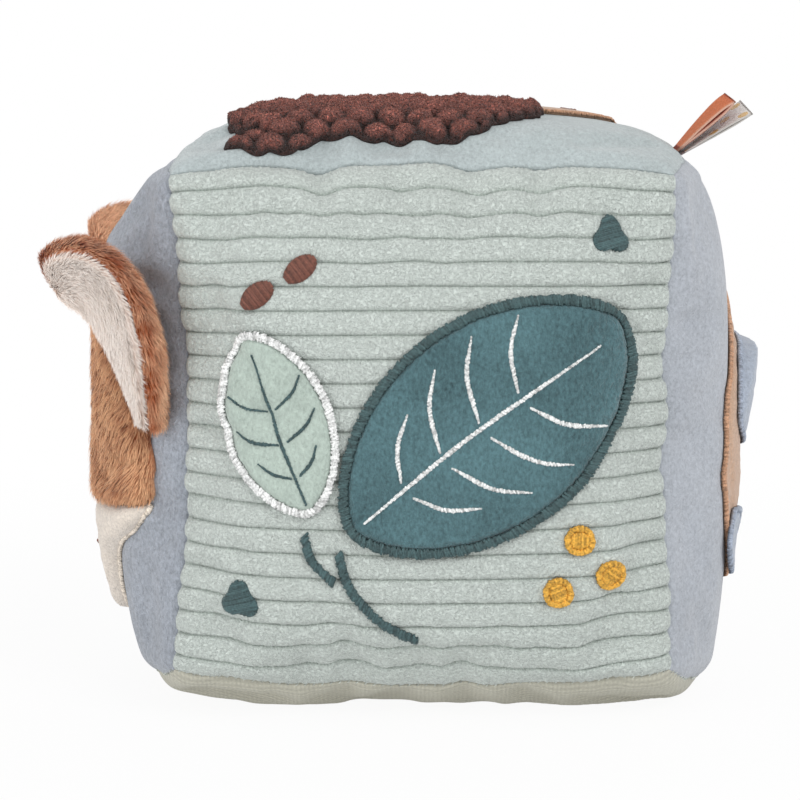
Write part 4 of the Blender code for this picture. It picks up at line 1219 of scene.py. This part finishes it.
def blade_shape():
    """One fibre of unit length: a flat strip that rises, lies over and ends in a point."""
    bm = bmesh.new()
    tip = bm.verts.layers.float.new("tip")
    pairs = []
    for along, lift, wide in BLADE_STATION_SHARES:
        pair = [bm.verts.new((along, edge * wide / 2, lift)) for edge in (-1, 1)]
        for corner in pair:
            corner[tip] = along
        pairs.append(pair)
    for low, high in zip(pairs, pairs[1:]):
        bm.faces.new((low[0], high[0], high[1], low[1]))
    point = bm.verts.new(BLADE_POINT_SHARES)
    point[tip] = 1
    bm.faces.new((pairs[-1][0], point, pairs[-1][1]))
    return from_bmesh("blade", bm)


def pile_tree(shape):
    """Nodes that grow fibres on a skin, along its comb attribute and as long as its reach attribute says."""
    sizes = ("Density", "Length", "Width", "Unruly")
    loom = Growing("pile", (*((size, "Float") for size in sizes), ("Seed", "Int")))

    def stray(number):
        span = {0: (-1, -1, -1), 1: (1, 1, 1), "Seed": number}
        return loom.node("FunctionNodeRandomValue", {"data_type": "FLOAT_VECTOR"}, span)

    def moved(start, way, by):
        step = loom.node("ShaderNodeVectorMath", {"operation": "SCALE"}, {0: way, "Scale": by})
        return loom.node("ShaderNodeVectorMath", {"operation": "ADD"}, {0: start, 1: step})

    reach = loom.carried("reach", "FLOAT")
    grows = loom.node("ShaderNodeMath", {"operation": "GREATER_THAN"}, {0: reach, 1: REACH_LEAST})
    sown = {"Mesh": loom.given("Source"), "Density": loom.given("Density") * grows, "Seed": loom.given("Seed")}
    points = loom.node("GeometryNodeDistributePointsOnFaces", {"distribute_method": "RANDOM"}, sown)
    normal = Strand(loom, points.socket.node.outputs["Normal"])
    lie = moved(loom.carried("comb"), stray(1), loom.given("Unruly"))
    growth = loom.node("FunctionNodeRandomValue", {"data_type": "FLOAT"}, {2: 0.6, 3: 1.15, "Seed": 3}, out=1)
    length = loom.given("Length") * reach * growth
    scale = loom.node("ShaderNodeCombineXYZ", {}, {"X": length, "Y": loom.given("Width"), "Z": length})
    return loom.set_on(points, shape, lie, moved(normal, stray(2), 0.7), scale)


def stored(thing, name):
    """The numbers that a mesh's corners carry under a name."""
    values = np.zeros(len(thing.data.vertices), np.float32)
    thing.data.attributes[name].data.foreach_get("value", values)
    return values


def combed(skin, count, lie, reach=1.0, lift=0.3, clump=0.5, per_metre=170):
    """Stores how the pile lies and how long it is on the first points of a skin. None grows on the rest."""
    normals = np.array([normal.vector[:] for normal in skin.data.vertex_normals])[:count]
    spots = np.array([corner.co[:] for corner in skin.data.vertices])[:count]
    swirl = np.array([noise.noise_vector(Vector(spot) * per_metre)[:] for spot in spots])
    flow = lie + clump * swirl
    flow = flow - normals * (flow * normals).sum(axis=1, keepdims=True)
    flow = flow / np.maximum(np.linalg.norm(flow, axis=1, keepdims=True), 1e-6) + normals * lift
    store(skin, "comb", flow)
    store(skin, "reach", np.broadcast_to(reach, count))


def grow_pile(name, skin, strands, length, width, paint, body="block", unruly=0.25, seed=1):
    """The fibres that grow on a combed skin, as one piece."""
    source = added(name, skin.data.copy())
    reach = stored(skin, "reach")
    area = sum(
        side.area for side in skin.data.polygons if reach[list(side.vertices)].mean() > REACH_LEAST
    )
    values = {
        "Density": float(strands / area), "Length": length, "Width": width, "Unruly": unruly, "Seed": seed,
        "Material": paint,
    }
    finished(grown_from(source, pile, values), paint, body=body)


def fur_paint(name, root, tip, blotch=0.3, streak=0.4, per_metre=90):
    """Fur: darker at its roots, lighter at its tips, uneven from tuft to tuft, and painted darker as painted
    shade where its skin carries deep.
    """
    fabric = Fabric(name, sheen=0.35, specular=0.1)
    tufts = fabric.grain(per_metre, 2, 0.6)
    strands = fabric.grain(1100, 2)
    # Painted shade: the skin's deep attribute darkens the fibres where shade falls.
    shown = fabric.attribute("tip") * 0.75 + (tufts - 0.5) * (blotch * 3) - fabric.attribute("deep") * 0.6
    place = (shown + 0.25).limited()
    colour = fabric.loom.mixed(place, linear(root), linear(tip))
    shade = 1 + (strands - 0.5) * streak
    return fabric.finish(fabric.shaded(colour, shade), 0.85, strands, 0.05 * MM)


noise.seed_set(7)
blade = blade_shape()
pile = pile_tree(blade)
count = len(fleece.data.vertices) // 2
rises = stored(fleece, "rise")
reach = (rises * (rises > FUZZ_FROM))[:count]
combed(fleece, count, np.tile((0.0, -0.3, 0.0), (count, 1)), reach, lift=1.2, clump=1.2, per_metre=700)
# Painted shade: the fuzz is painted darker low on the bobbles, in the creases between them.
store(fleece, "deep", 1 - rises)
fuzz_paint = fur_paint("bobble_fuzz", "#552E27", "#D0907F", blotch=0.5, streak=0.9, per_metre=900)
grow_pile("hedgehog_fuzz", fleece, 22000, 0.6 * MM, 0.26 * MM, fuzz_paint, unruly=1.6)

# Head. The left side carries an animal's head: a padded face of long fox-brown fur, a smooth cream muzzle
# below it with a stitched edge, an embroidered nose where they meet, and two closed eyes.
HEAD_HALF_SHARES = (
    (0, 0.56), (0.3, 0.53), (0.55, 0.4), (0.71, 0.22), (0.79, 0.06), (0.83, -0.08), (0.845, -0.2),
    (0.84, -0.31), (0.7, -0.345), (0.36, -0.36), (0, -0.37),
)
MUZZLE_HALF_SHARES = (
    (0, -0.385), (0.36, -0.375), (0.7, -0.36), (0.83, -0.35), (0.73, -0.46), (0.52, -0.58), (0.4, -0.72),
    (0.24, -0.84), (0, -0.88),
)
MOUTH_SHARES = ((0, -0.44), (0, -0.52), (-0.09, -0.6), (-0.2, -0.58))
LID_SHARES = ((0.24, 0.1), (0.3, 0.03), (0.38, 0), (0.46, 0.03), (0.5, 0.08))
HEAD_CENTRE = (0, -0.12 * HALF)
HEAD_RADII = (HALF, 0.82 * HALF)
HEAD_EDGE, HEAD_RISE = 1.6 * MM, 3.8 * MM
MUZZLE_EDGE, MUZZLE_RISE = 1.5 * MM, 4.9 * MM
FUR_ROOT = "#9C4E2A"
FUR_TIP = "#EAB98F"
CREAM = "#EADFD3"


def mirrored(half):
    """A closed run of places from the +Y half of an outline, whose first and last lie on the middle."""
    return list(half) + [(-across, up) for across, up in reversed(half[1:-1])]


def dome(centre, radii, edge, rise):
    """The thickness of a padded patch, from its edge to its middle."""

    def thickness(places):
        off = (((places - np.array(centre)) / np.array(radii)) ** 2).sum(axis=-1)
        return edge + rise * np.sqrt(np.maximum(0, 1 - off))

    return thickness


fox_fur = fur_paint("fox_fur", FUR_ROOT, FUR_TIP, blotch=0.42, streak=0.7, per_metre=120)
head_outline = curve_through(flat(mirrored(HEAD_HALF_SHARES)), 8)
head_relief = dome(HEAD_CENTRE, HEAD_RADII, HEAD_EDGE, HEAD_RISE)
skin = patch("head_pad", "left", head_outline, 1.4 * MM, head_relief, 3 * MM)
finished(skin, fox_fur, stands_for=("head_fur",))
count = len(skin.data.vertices) // 2
spots = np.array([corner.co[:] for corner in skin.data.vertices])[:count]
to_middle = -spots[:, 1] / HALF
lie = np.stack((np.full(count, -0.2), to_middle * 0.5, np.full(count, -1.0)), axis=1)
eye_places = [Vector((0, side * 0.36 * HALF, BLOCK_MIDDLE.z + 0.06 * HALF)) for side in (-1, 1)]
near_eye = np.min([np.hypot(spots[:, 1] - eye.y, spots[:, 2] - eye.z) for eye in eye_places], axis=0)
reach = 0.3 + 0.7 * np.clip(near_eye / (9 * MM), 0, 1)
reach = reach * (0.35 + 0.65 * stored(skin, "rise")[:count])
combed(skin, count, lie, reach, lift=0.24, clump=0.6)
grow_pile("head_pile", skin, 39000, 5.4 * MM, 0.24 * MM, fox_fur, unruly=0.15, seed=2)

cream_plush = plush("cream_plush", CREAM, mottle=0.12)
cream_thread = thread("cream_thread", "#DDD2C4")
outline = curve_through(flat(mirrored(MUZZLE_HALF_SHARES)), 8)
muzzle_relief = dome(HEAD_CENTRE, HEAD_RADII, MUZZLE_EDGE, MUZZLE_RISE)
muzzle = patch("muzzle_pad", "left", outline, 1.2 * MM, muzzle_relief, 3.5 * MM, rough=(0.5 * MM, 120))
finished(muzzle, cream_plush, stands_for=("muzzle",))
row = satin_row("left", even(outline, 0.7 * MM), 1.1 * MM, SEWN_LIFT + 0.1 * MM)
sewn("muzzle_edging", row, cream_thread, thickness=1.4)


def over_muzzle(places):
    """The height of stitches that lie on the muzzle and the fur's lower edge."""
    return muzzle_relief(places) + THREAD_LIFT


def over_head(places):
    """The height of stitches that lie on the head's fur."""
    return head_relief(places) + 1.4 * MM


rows = filled("left", oval((0, -0.36), 15 * MM, 10 * MM), over_muzzle, math.pi / 2)
mouth = curve_through(flat(MOUTH_SHARES), 6, closed=False)
for side in (-1, 1):
    rows += satin_row("left", mouth * (side, 1), 1 * MM, over_muzzle, 0.6, closed=False, seed=5 + side)
embroidered("head_nose", rows, cocoa_thread, 1.4)
rows = []
lid = curve_through(flat(LID_SHARES), 6, closed=False)
for side in (-1, 1):
    rows += satin_row("left", lid * (side, 1), 1.7 * MM, over_head, 0.3, closed=False, seed=8 + side)
sewn("head_eyes_stitches", rows, cocoa_thread, thickness=1.6)

# Ears. Each ear is two layers sewn back to back and turned: a long-furred brown back and a cream lining. The
# ear leaves the head's side, stands up and curls outwards, and folds on its seam.
EAR_LENGTH = 54 * MM
EAR_PATH_SHARES = (
    (0, 0, 0), (0.02, 0.04, 0.13), (0.05, 0.07, 0.27), (0.09, 0.08, 0.415), (0.16, 0.08, 0.57),
    (0.255, 0.06, 0.665), (0.35, 0.03, 0.68), (0.44, 0, 0.635),
)
EAR_ROOT_SHARE = 0.93
EAR_ROOT_STAND = 4 * MM
EAR_HALF_WIDTH = 13 * MM
EAR_ROOT_WIDTH_SHARE, EAR_WIDEST_SHARE, EAR_TIP_WIDTH_SHARE = 0.3, 0.6, 0.45
EAR_EDGE_SHARE, EAR_ROOT_THICK_SHARE = 0.45, 0.55
EAR_CUP = 1.5 * MM
EAR_ROOT_TURN, EAR_TIP_TURN = math.radians(16), math.radians(60)
EAR_GAP = 0.3 * MM
EAR_ROUND_SHARE = 0.08
EAR_CELLS = (28, 56)
EAR_STRANDS = 30000
EAR_LAYERS = (
    ("back", 4.6 * MM, 0.97, -1, 5.4 * MM, 0.5, 0.15, "fox_fur"),
    ("lining", 1.9 * MM, 0.9, 1, 3.2 * MM, 0.3, 0.8, "cream_plush"),
)


def rise_and_past(share, widest):
    """How a width rises to its widest place, and how far a share lies past that place."""
    rise = np.sin(math.pi / 2 * np.minimum(share / widest, 1))
    return rise, np.clip((share - widest) / (1 - widest), 0, 1)


def ear_half_width(share):
    """The ear's half width along its length: pinched at the root, full past the middle, round at the tip."""
    rise, past = rise_and_past(share, EAR_WIDEST_SHARE)
    drop = 1 - np.sqrt(1 - past * past)
    width = EAR_ROOT_WIDTH_SHARE + (1 - EAR_ROOT_WIDTH_SHARE) * rise - (1 - EAR_TIP_WIDTH_SHARE) * drop
    return EAR_HALF_WIDTH * width


def ear_surface(side, x, share, thick, width_share, facing):
    """Points of one side of an ear's layer, across it from -1 to 1 and along it from 0 to 1."""
    root = smooth_cover("left", np.array(-EAR_ROOT_SHARE), np.array(0.0)) - (EAR_ROOT_STAND, 0, 0)
    path = root + EAR_LENGTH * np.array(EAR_PATH_SHARES) * (-1, -1, 1)
    depth = np.array((0.0, 1.0, 0.0))
    tiny = 0.01
    ahead = spline_at(path, share + tiny) - spline_at(path, share - tiny)
    ear_back = np.cross(depth, ahead)
    ear_back /= np.linalg.norm(ear_back, axis=-1, keepdims=True)
    turn = (EAR_ROOT_TURN + (EAR_TIP_TURN - EAR_ROOT_TURN) * share**2)[..., None]
    outward_side = -ear_back * np.cos(turn) - depth * np.sin(turn)
    across = ear_back * np.sin(turn) - depth * np.cos(turn)
    near_tip = np.clip((share - 1 + EAR_ROUND_SHARE) / EAR_ROUND_SHARE, 0, 1)
    rounded = np.sqrt(1 - 0.9 * near_tip**2)
    edge = EAR_EDGE_SHARE + (1 - EAR_EDGE_SHARE) * np.sqrt(1 - x * x)
    root_share = EAR_ROOT_THICK_SHARE + (1 - EAR_ROOT_THICK_SHARE) * np.minimum(1, share * 3)
    stand = EAR_GAP / 2 + thick * edge * root_share * rounded
    point = spline_at(path, share)
    point = point + across * (x * width_share * rounded * ear_half_width(share))[..., None]
    point = point + outward_side * (EAR_CUP * x * x + facing * stand)[..., None]
    point[..., 1] *= -side
    return point


def closed_pad(name, outer, inner):
    """A closed piece between two grids of points that share their edges."""
    corners = np.concatenate((outer.reshape(-1, 3), inner.reshape(-1, 3)))
    first = len(corners) // 2
    quads, rim = grid_faces(*outer.shape[:2])
    after = np.roll(rim, -1)
    sides = np.stack((rim, after, after + first, rim + first), axis=-1)
    faces = np.concatenate((quads, quads[:, ::-1] + first, sides)).tolist()
    return made(name, corners, faces, turned=True)


def unit(rows):
    """Directions of length 1."""
    return rows / np.maximum(np.linalg.norm(rows, axis=-1, keepdims=True), 1e-9)


ear_fur = fur_paint("ear_fur", "#A8552E", "#FACAA4", blotch=0.5, streak=0.8, per_metre=150)
cream_fur = fur_paint("cream_fur", "#FFE9DC", "#FFF9F3", blotch=0.12, streak=0.12)
ear_paints = {"fox_fur": ear_fur, "cream_plush": cream_fur}
across, along = np.meshgrid(
    np.sin(np.linspace(-1, 1, EAR_CELLS[0] + 1) * math.pi / 2), np.linspace(0, 1, EAR_CELLS[1] + 1),
    indexing="ij",
)
for ear, side in (("near", -1), ("far", 1)):
    for layer, thick, wide, facing, length, lift, fan, slot in EAR_LAYERS:
        name, body, paint = f"ear_{ear}_{layer}", f"{ear}_ear", ear_paints[slot]
        outer = ear_surface(side, across, along, thick, wide, facing)
        inner = ear_surface(side, across, along, 0, wide, facing)
        skin = closed_pad(name + "_pad", outer, inner)
        finished(skin, paint, body=body, stands_for=(name,))
        ahead = unit(np.gradient(outer, axis=1)).reshape(-1, 3)
        aside = unit(np.gradient(outer, axis=0)).reshape(-1, 3)
        lie = across.reshape(-1, 1) * fan * aside - ahead
        reach = 0.75 + 0.25 * np.sin(math.pi * np.clip(along.ravel(), 0.1, 0.9))
        if layer == "back":
            reach = reach * (1 - 0.6 * np.clip(along.ravel() * 6 - 5, 0, 1))
            # Painted shade: the back's fur is painted darker along its edges, beside the lining.
            store(skin, "deep", 0.75 * np.abs(across.ravel()) ** 12)
        combed(skin, len(lie), lie, reach, lift=lift, clump=0.55, per_metre=230)
        grow_pile(
            name + "_pile", skin, EAR_STRANDS, length, 0.2 * MM, paint, body=body, unruly=0.15, seed=4
        )

# Bird. The right side carries a bird: a padded tan body, a lavender wing that is sewn on along its top edge
# and lifts as a flap, a tail, a felt-like beak and an embroidered eye.
BIRD_BODY_SHARES = (
    (0.4, 0.06), (0.44, -0.24), (0.38, -0.52), (0.16, -0.69), (-0.18, -0.72), (-0.5, -0.59),
    (-0.64, -0.34), (-0.6, 0), (-0.46, 0.2), (-0.22, 0.36), (-0.02, 0.43), (0.2, 0.44), (0.36, 0.3),
)
BIRD_WING_SHARES = (
    (0.26, 0.09), (0.14, -0.09), (-0.1, -0.17), (-0.34, -0.13), (-0.5, -0.05), (-0.44, 0.13), (-0.3, 0.23),
    (-0.02, 0.25), (0.2, 0.23),
)
BIRD_TAIL_SHARES = (
    (-0.26, -0.57), (-0.4, -0.66), (-0.56, -0.61), (-0.62, -0.5), (-0.5, -0.42), (-0.3, -0.46),
)
BIRD_BEAK_SHARES = ((0.54, 0.26), (0.62, 0.17), (0.52, 0.16), (0.4, 0.2), (0.42, 0.32))
BIRD_EYE_SHARES, BIRD_EYE = (0.14, 0.32), 4.4 * MM
bird_relief = dome(flat((-0.1, -0.12)), flat((0.5, 0.46)), 0.8 * MM, 2.9 * MM)
wing_dome = dome(flat((-0.12, 0.16)), flat((0.44, 0.34)), 1.6 * MM, 4 * MM)
tail_relief = dome(flat((-0.45, -0.56)), flat((0.24, 0.22)), 0.7 * MM, 0.4 * MM)


def wing_relief(places):
    """The wing is plump along its sewn top edge and thin at its lower one."""
    return wing_dome(places) * np.clip(0.6 + 1.7 * places[..., 1] / HALF, 0.25, 1)


def on_bird(places):
    """The height of what lies on the bird's body."""
    return bird_relief(places) + SEWN_LIFT


wing_plush = plush("wing_plush", "#ADB6C4", mottle=0.2)
wing_thread = thread("lavender_thread", "#98A1B0")
bird_pieces = (
    ("bird_body", BIRD_BODY_SHARES, bird_relief, None, tan_plush, "tan_plush", "block", tan_thread),
    ("bird_tail", BIRD_TAIL_SHARES, tail_relief, on_bird, wing_plush, "lavender_plush", "block", wing_thread),
    ("bird_wing", BIRD_WING_SHARES, wing_relief, on_bird, wing_plush, "lavender_plush", "wing", wing_thread),
)
for name, shares, relief, under, paint, slot, body, edging in bird_pieces:
    outline = curve_through(flat(shares), 8)
    pad = patch(
        name + "_pad", "right", outline, 1.2 * MM, relief, 2.4 * MM, under=under, rough=(0.4 * MM, 150)
    )
    finished(pad, paint, body=body, stands_for=(name,))

    def edge_height(places, under=under):
        return SEWN_LIFT + 0.5 * MM + (under(places) if under else 0)

    edged(name, "right", outline, 1.4 * MM, edge_height, edging, 1.4, inset=0.3 * MM, body=body)
rows = filled("right", disc(BIRD_EYE_SHARES, BIRD_EYE), on_bird, 0.9)
embroidered("bird_eye", rows, cocoa_thread, 1.6)
outline = curve_through(flat(BIRD_BEAK_SHARES), 8)
mustard_plush = plush("mustard_plush", MUSTARD, mottle=0.2)
beak = patch("bird_beak_plush", "right", outline, 0.9 * MM, level(1.6 * MM), 1.5 * MM)
finished(beak, mustard_plush, stands_for=("bird_beak",))

# Mushroom. The back's picture: a rust plush cap with stitched cream spots on a cream stem, both edged.
MUSHROOM_CAP_SHARES = (
    (-0.56, 0.02), (-0.5, 0.3), (-0.28, 0.52), (0, 0.6), (0.28, 0.52), (0.5, 0.3), (0.56, 0.02),
    (0.28, -0.03), (0, -0.045), (-0.28, -0.03),
)
MUSHROOM_STEM_SHARES = (
    (-0.17, -0.07), (0, -0.075), (0.17, -0.07), (0.16, -0.34), (0.22, -0.6), (0, -0.66), (-0.22, -0.6),
    (-0.16, -0.34),
)
MUSHROOM_SPOT_SHARES = ((-0.28, 0.18, 0.15), (0.02, 0.38, 0.17), (0.3, 0.22, 0.13), (0.06, 0.12, 0.09))
rust_plush = plush("rust_plush", "#BC7A62", mottle=0.2)
rust_thread = thread("rust_thread", "#9A5A46")
mushroom_pieces = (
    ("mushroom_cap", MUSHROOM_CAP_SHARES, rust_plush, "rust_velour", rust_thread),
    ("mushroom_stem", MUSHROOM_STEM_SHARES, cream_plush, "cream_plush", cream_thread),
)
for name, shares, paint, slot, edging in mushroom_pieces:
    outline = curve_through(flat(shares), 8)
    cloth = patch(name + "_plush", "back", outline, 1.2 * MM, level(1.6 * MM), 2.4 * MM, rough=(0.2 * MM, 260))
    finished(cloth, paint, stands_for=(name,))
    cut_from_cloth(outline)
    edged(name, "back", outline, 1.8 * MM, SEWN_LIFT + 1 * MM, edging, 1.5, inset=0.2 * MM)
rows = []
for *shares, size in MUSHROOM_SPOT_SHARES:
    rows += filled("back", disc(shares, size * HALF), SEWN_LIFT + 1.9 * MM, shares[0])
sewn("mushroom_spots_stitches", rows, cream_thread, thickness=1.5)

# Tags. Two folded ribbons are sewn into the seam between the top and the right side: a rust velour loop, and
# behind it a satin loop with a small printed pattern. Both twist a little from their root to their fold.
TAG_ROOT = -1.4 * MM
TAG_WIDEST_SHARE, TAG_ROOT_HEIGHT_SHARE = 0.72, 0.3
TAGS = (
    ("velour_tag", 21.5 * MM, 13 * MM, 2.2 * MM, 1 * MM, 44, 12, 1.1 * MM, "rust_velour"),
    ("satin_tag", 23 * MM, 13 * MM, 1.1 * MM, 0.5 * MM, 35, 19, -0.5 * MM, "satin_ribbon"),
)
TAG_STEPS = 60
TAG_COLUMNS = 14


def tag_points(length, width, height, thick, lean, twist, aside):
    """A ribbon that runs out from the seam, folds and comes back. Its section is swept along that path, which
    leans out and twists by so many degrees."""
    near_fold = 0.94 + 0.06 * np.sin(np.linspace(0.2, 1, 10) * math.pi / 2)
    shares = np.concatenate((np.linspace(0, 0.94, TAG_STEPS), near_fold))
    shares = np.concatenate((shares, shares[-2::-1]))
    upper = np.arange(len(shares)) < len(shares) / 2
    rise, past = rise_and_past(shares, TAG_WIDEST_SHARE)
    half = (TAG_ROOT_HEIGHT_SHARE + (1 - TAG_ROOT_HEIGHT_SHARE) * rise) * np.sqrt(1 - past**2)
    bend = np.maximum((height / 2) * half - thick / 2, 0)
    path = np.stack((TAG_ROOT + (length - thick / 2) * shares, np.where(upper, 1, -1) * bend), axis=1)
    run = unit(np.gradient(path, axis=0))
    square = np.stack((-run[:, 1], run[:, 0]), axis=1)
    across = np.concatenate((np.linspace(-0.5, 0.5, TAG_COLUMNS), np.linspace(0.5, -0.5, TAG_COLUMNS)))
    side = np.concatenate((np.full(TAG_COLUMNS, 0.5), np.full(TAG_COLUMNS, -0.5)))
    side = side * np.where(np.abs(across) > 0.49, 0.4, 1)
    flat_path = path[:, None] + square[:, None] * (side * thick)[None, :, None]
    x, z = flat_path[..., 0], flat_path[..., 1]
    y = np.broadcast_to(across * width, x.shape)
    turn = math.radians(twist) * x / length
    y, z = y * np.cos(turn) - z * np.sin(turn), y * np.sin(turn) + z * np.cos(turn)
    z = z + aside
    seam = smooth_cover("top", np.array(1.0), np.array(0.02))
    lean_cos, lean_sin = math.cos(math.radians(lean)), math.sin(math.radians(lean))
    leant = np.stack((x * lean_cos - z * lean_sin, y, x * lean_sin + z * lean_cos), axis=-1)
    return leant + seam, shares, across, upper


def tag_piece(name, grid):
    """A closed ribbon from the rings of points along it."""
    rings, around = grid.shape[:2]
    number = np.arange(rings * around).reshape(rings, around)
    after = np.roll(number, -1, axis=1)
    quads = np.stack((number[:-1], after[:-1], after[1:], number[1:]), axis=-1).reshape(-1, 4)
    ends = []
    for ring in (number[0], number[-1]):
        for at in range(around // 2 - 1):
            ends.append((ring[at], ring[at + 1], ring[around - 2 - at], ring[around - 1 - at]))
    return made(name, grid.reshape(-1, 3), [*quads.tolist(), *ends], turned=True)


def velour_paint():
    """Rust velour: a dense short pile with paler cut edges, its lower layer painted darker and redder as
    painted shade.
    """
    fabric = Fabric("rust_velour", sheen=0.1)
    fibres = fabric.grain(1500, 3, 0.6)
    shade = 1 + (fibres - 0.5) * 0.9
    # Painted shade: from the fold back along the lower layer, the velour is painted darker and redder.
    under = ((fabric.attribute("along") - 0.9) * 5).limited()
    rust_with_shade = fabric.loom.mixed(under, linear("#CB6A38"), linear("#A2402A"))
    pale = (fabric.attribute("edge") ** 12).limited()
    colour = fabric.loom.mixed(pale * 0.8, fabric.shaded(rust_with_shade, shade), linear("#D9B7A4"))
    return fabric.finish(colour, 0.85, fibres, 0.25 * MM)


def satin_paint():
    """White satin ribbon with a woven selvedge and a print of small mustard dots."""
    fabric = Fabric("satin_ribbon", sheen=0.15, specular=0.4)
    weave = fabric.grain(2400, 2)
    along = fabric.attribute("along")
    dots = (along * (2 * math.pi * 2.5)).sine() * (fabric.attribute("across") * (2 * math.pi * 1.5)).sine()
    printed = ((dots - 0.45) * 8).limited()
    white = fabric.shaded(linear("#D4D0CB"), 1 + (weave - 0.5) * 0.16)
    band = ((1.72 - along) * 20).limited()
    white = fabric.loom.mixed(band, linear("#C2AEB0"), white)
    colour = fabric.loom.mixed(printed * band, white, linear("#C49A48"))
    edge = (fabric.attribute("edge") ** 12).limited()
    colour = fabric.loom.mixed(edge * 0.4, colour, linear("#A29E9A"))
    return fabric.finish(colour, 0.42, weave, 0.06 * MM)


tag_paints = {"rust_velour": velour_paint(), "satin_ribbon": satin_paint()}
for name, length, width, *form, slot in TAGS:
    grid, shares, across, upper = tag_points(length, width, *form)
    tag = tag_piece(name + "_ribbon", grid)
    store(tag, "along", np.repeat(np.where(upper, shares, 2 - shares), len(across)))
    store(tag, "across", np.tile(across + 0.5, len(shares)))
    store(tag, "edge", np.tile(np.abs(across) * 2, len(shares)))
    finished(tag, tag_paints[slot], body="tags", stands_for=(name,))

# Seams. The panels are joined by short stitches of pale thread. They show in the bottom of each seam, and on
# the seams round the underside, which lie flat, they show on top.
SEAM_STITCHES, SEAM_END_SHARE = 58, 0.97
SEAM_STITCH, SEAM_THREAD, SEAM_SUNK = 0.7 * MM, 0.35 * MM, 0.6 * MM
SEAM_SLANT = 0.6

places = np.linspace(-SEAM_END_SHARE, SEAM_END_SHARE, SEAM_STITCHES) * 0.999
seam_stitches = []
for face, (normal, side, a, b, _) in FACES.items():
    for axis in (a, b):
        for end in (-1, 1):
            if (normal, side) > (axis, end):
                continue
            fixed = np.full(SEAM_STITCHES, end * 0.999)
            middle = cover(face, *((fixed, places) if axis == a else (places, fixed)))
            out = unit(middle - np.array(BLOCK_MIDDLE))
            along = unit(np.gradient(middle, axis=0))
            tilt = unit(np.cross(out, along) + along * SEAM_SLANT) * SEAM_STITCH
            if (Z, -1) not in ((normal, side), (axis, end)):
                middle = middle - out * SEAM_SUNK
            for spot, way, away in zip(middle, tilt, out):
                seam_stitches.append((spot - way, spot + way, away, SEAM_THREAD))
sewn("seam_stitches", seam_stitches, thread("seam_thread", "#B9BDB6"))

# Inside. The stuffing is white polyester fibre in two halves round a rattle: a blue plastic case in two cups
# with mustard beads in it. The stuffing is drawn in along the seam between the left side and the top, as the
# cover is.
STUFFING_DRAWN_IN = np.array((7, 0, -4)) * MM
STUFFING_FLAT_SHARE, STUFFING_TURN_SHARE = 0.45, 0.4
fabric = Fabric("stuffing", sheen=0.3)
tufts = fabric.grain(240, 4, 0.7)
fibre_white = fabric.finish(fabric.shaded(linear("#ECECE6"), 0.85 + tufts * 0.3), 0.95, tufts, 1.5 * MM)
for name in ("filling_lower", "filling_upper"):
    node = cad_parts[name]
    bm = bmesh.new()
    bm.from_mesh(node.data)
    bm.transform(node.matrix_world)
    bmesh.ops.remove_doubles(bm, verts=bm.verts[:], dist=0.01 * MM)
    bm.verts.index_update()
    corners = np.array([corner.co[:] for corner in bm.verts])
    sides = [[corner.index for corner in side.verts] for side in bm.faces]
    bm.free()
    shares = (corners - np.array(BLOCK_MIDDLE)) / HALF
    near = np.clip((shares * (-1, 1, 1) - STUFFING_FLAT_SHARE) / STUFFING_TURN_SHARE, 0, 1)
    corners = corners + STUFFING_DRAWN_IN * (near[:, X] * near[:, Z])[:, None]
    wad = made(name + "_wad", corners, sides)
    finished(wad, fibre_white, stands_for=(name,))


def plastic(name, colour):
    """Moulded plastic with a fine orange-peel surface."""
    fabric = Fabric(name, sheen=0, specular=0.5)
    peel = fabric.grain(900, 1)
    shade = 0.97 + fabric.grain(60, 2) * 0.06
    return fabric.finish(fabric.shaded(linear(colour), shade), 0.3 + peel * 0.08, peel, 0.03 * MM)


case_plastic = plastic("rattle_case", "#78A0BE")
bead_plastic = plastic("rattle_bead", "#DEA83E")
for name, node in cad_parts.items():
    if name.startswith("rattle"):
        node.data.materials.clear()
        node.data.materials.append(case_plastic if name.startswith("rattle_case") else bead_plastic)

bpy.data.objects.remove(stitch)
bpy.data.objects.remove(blade)
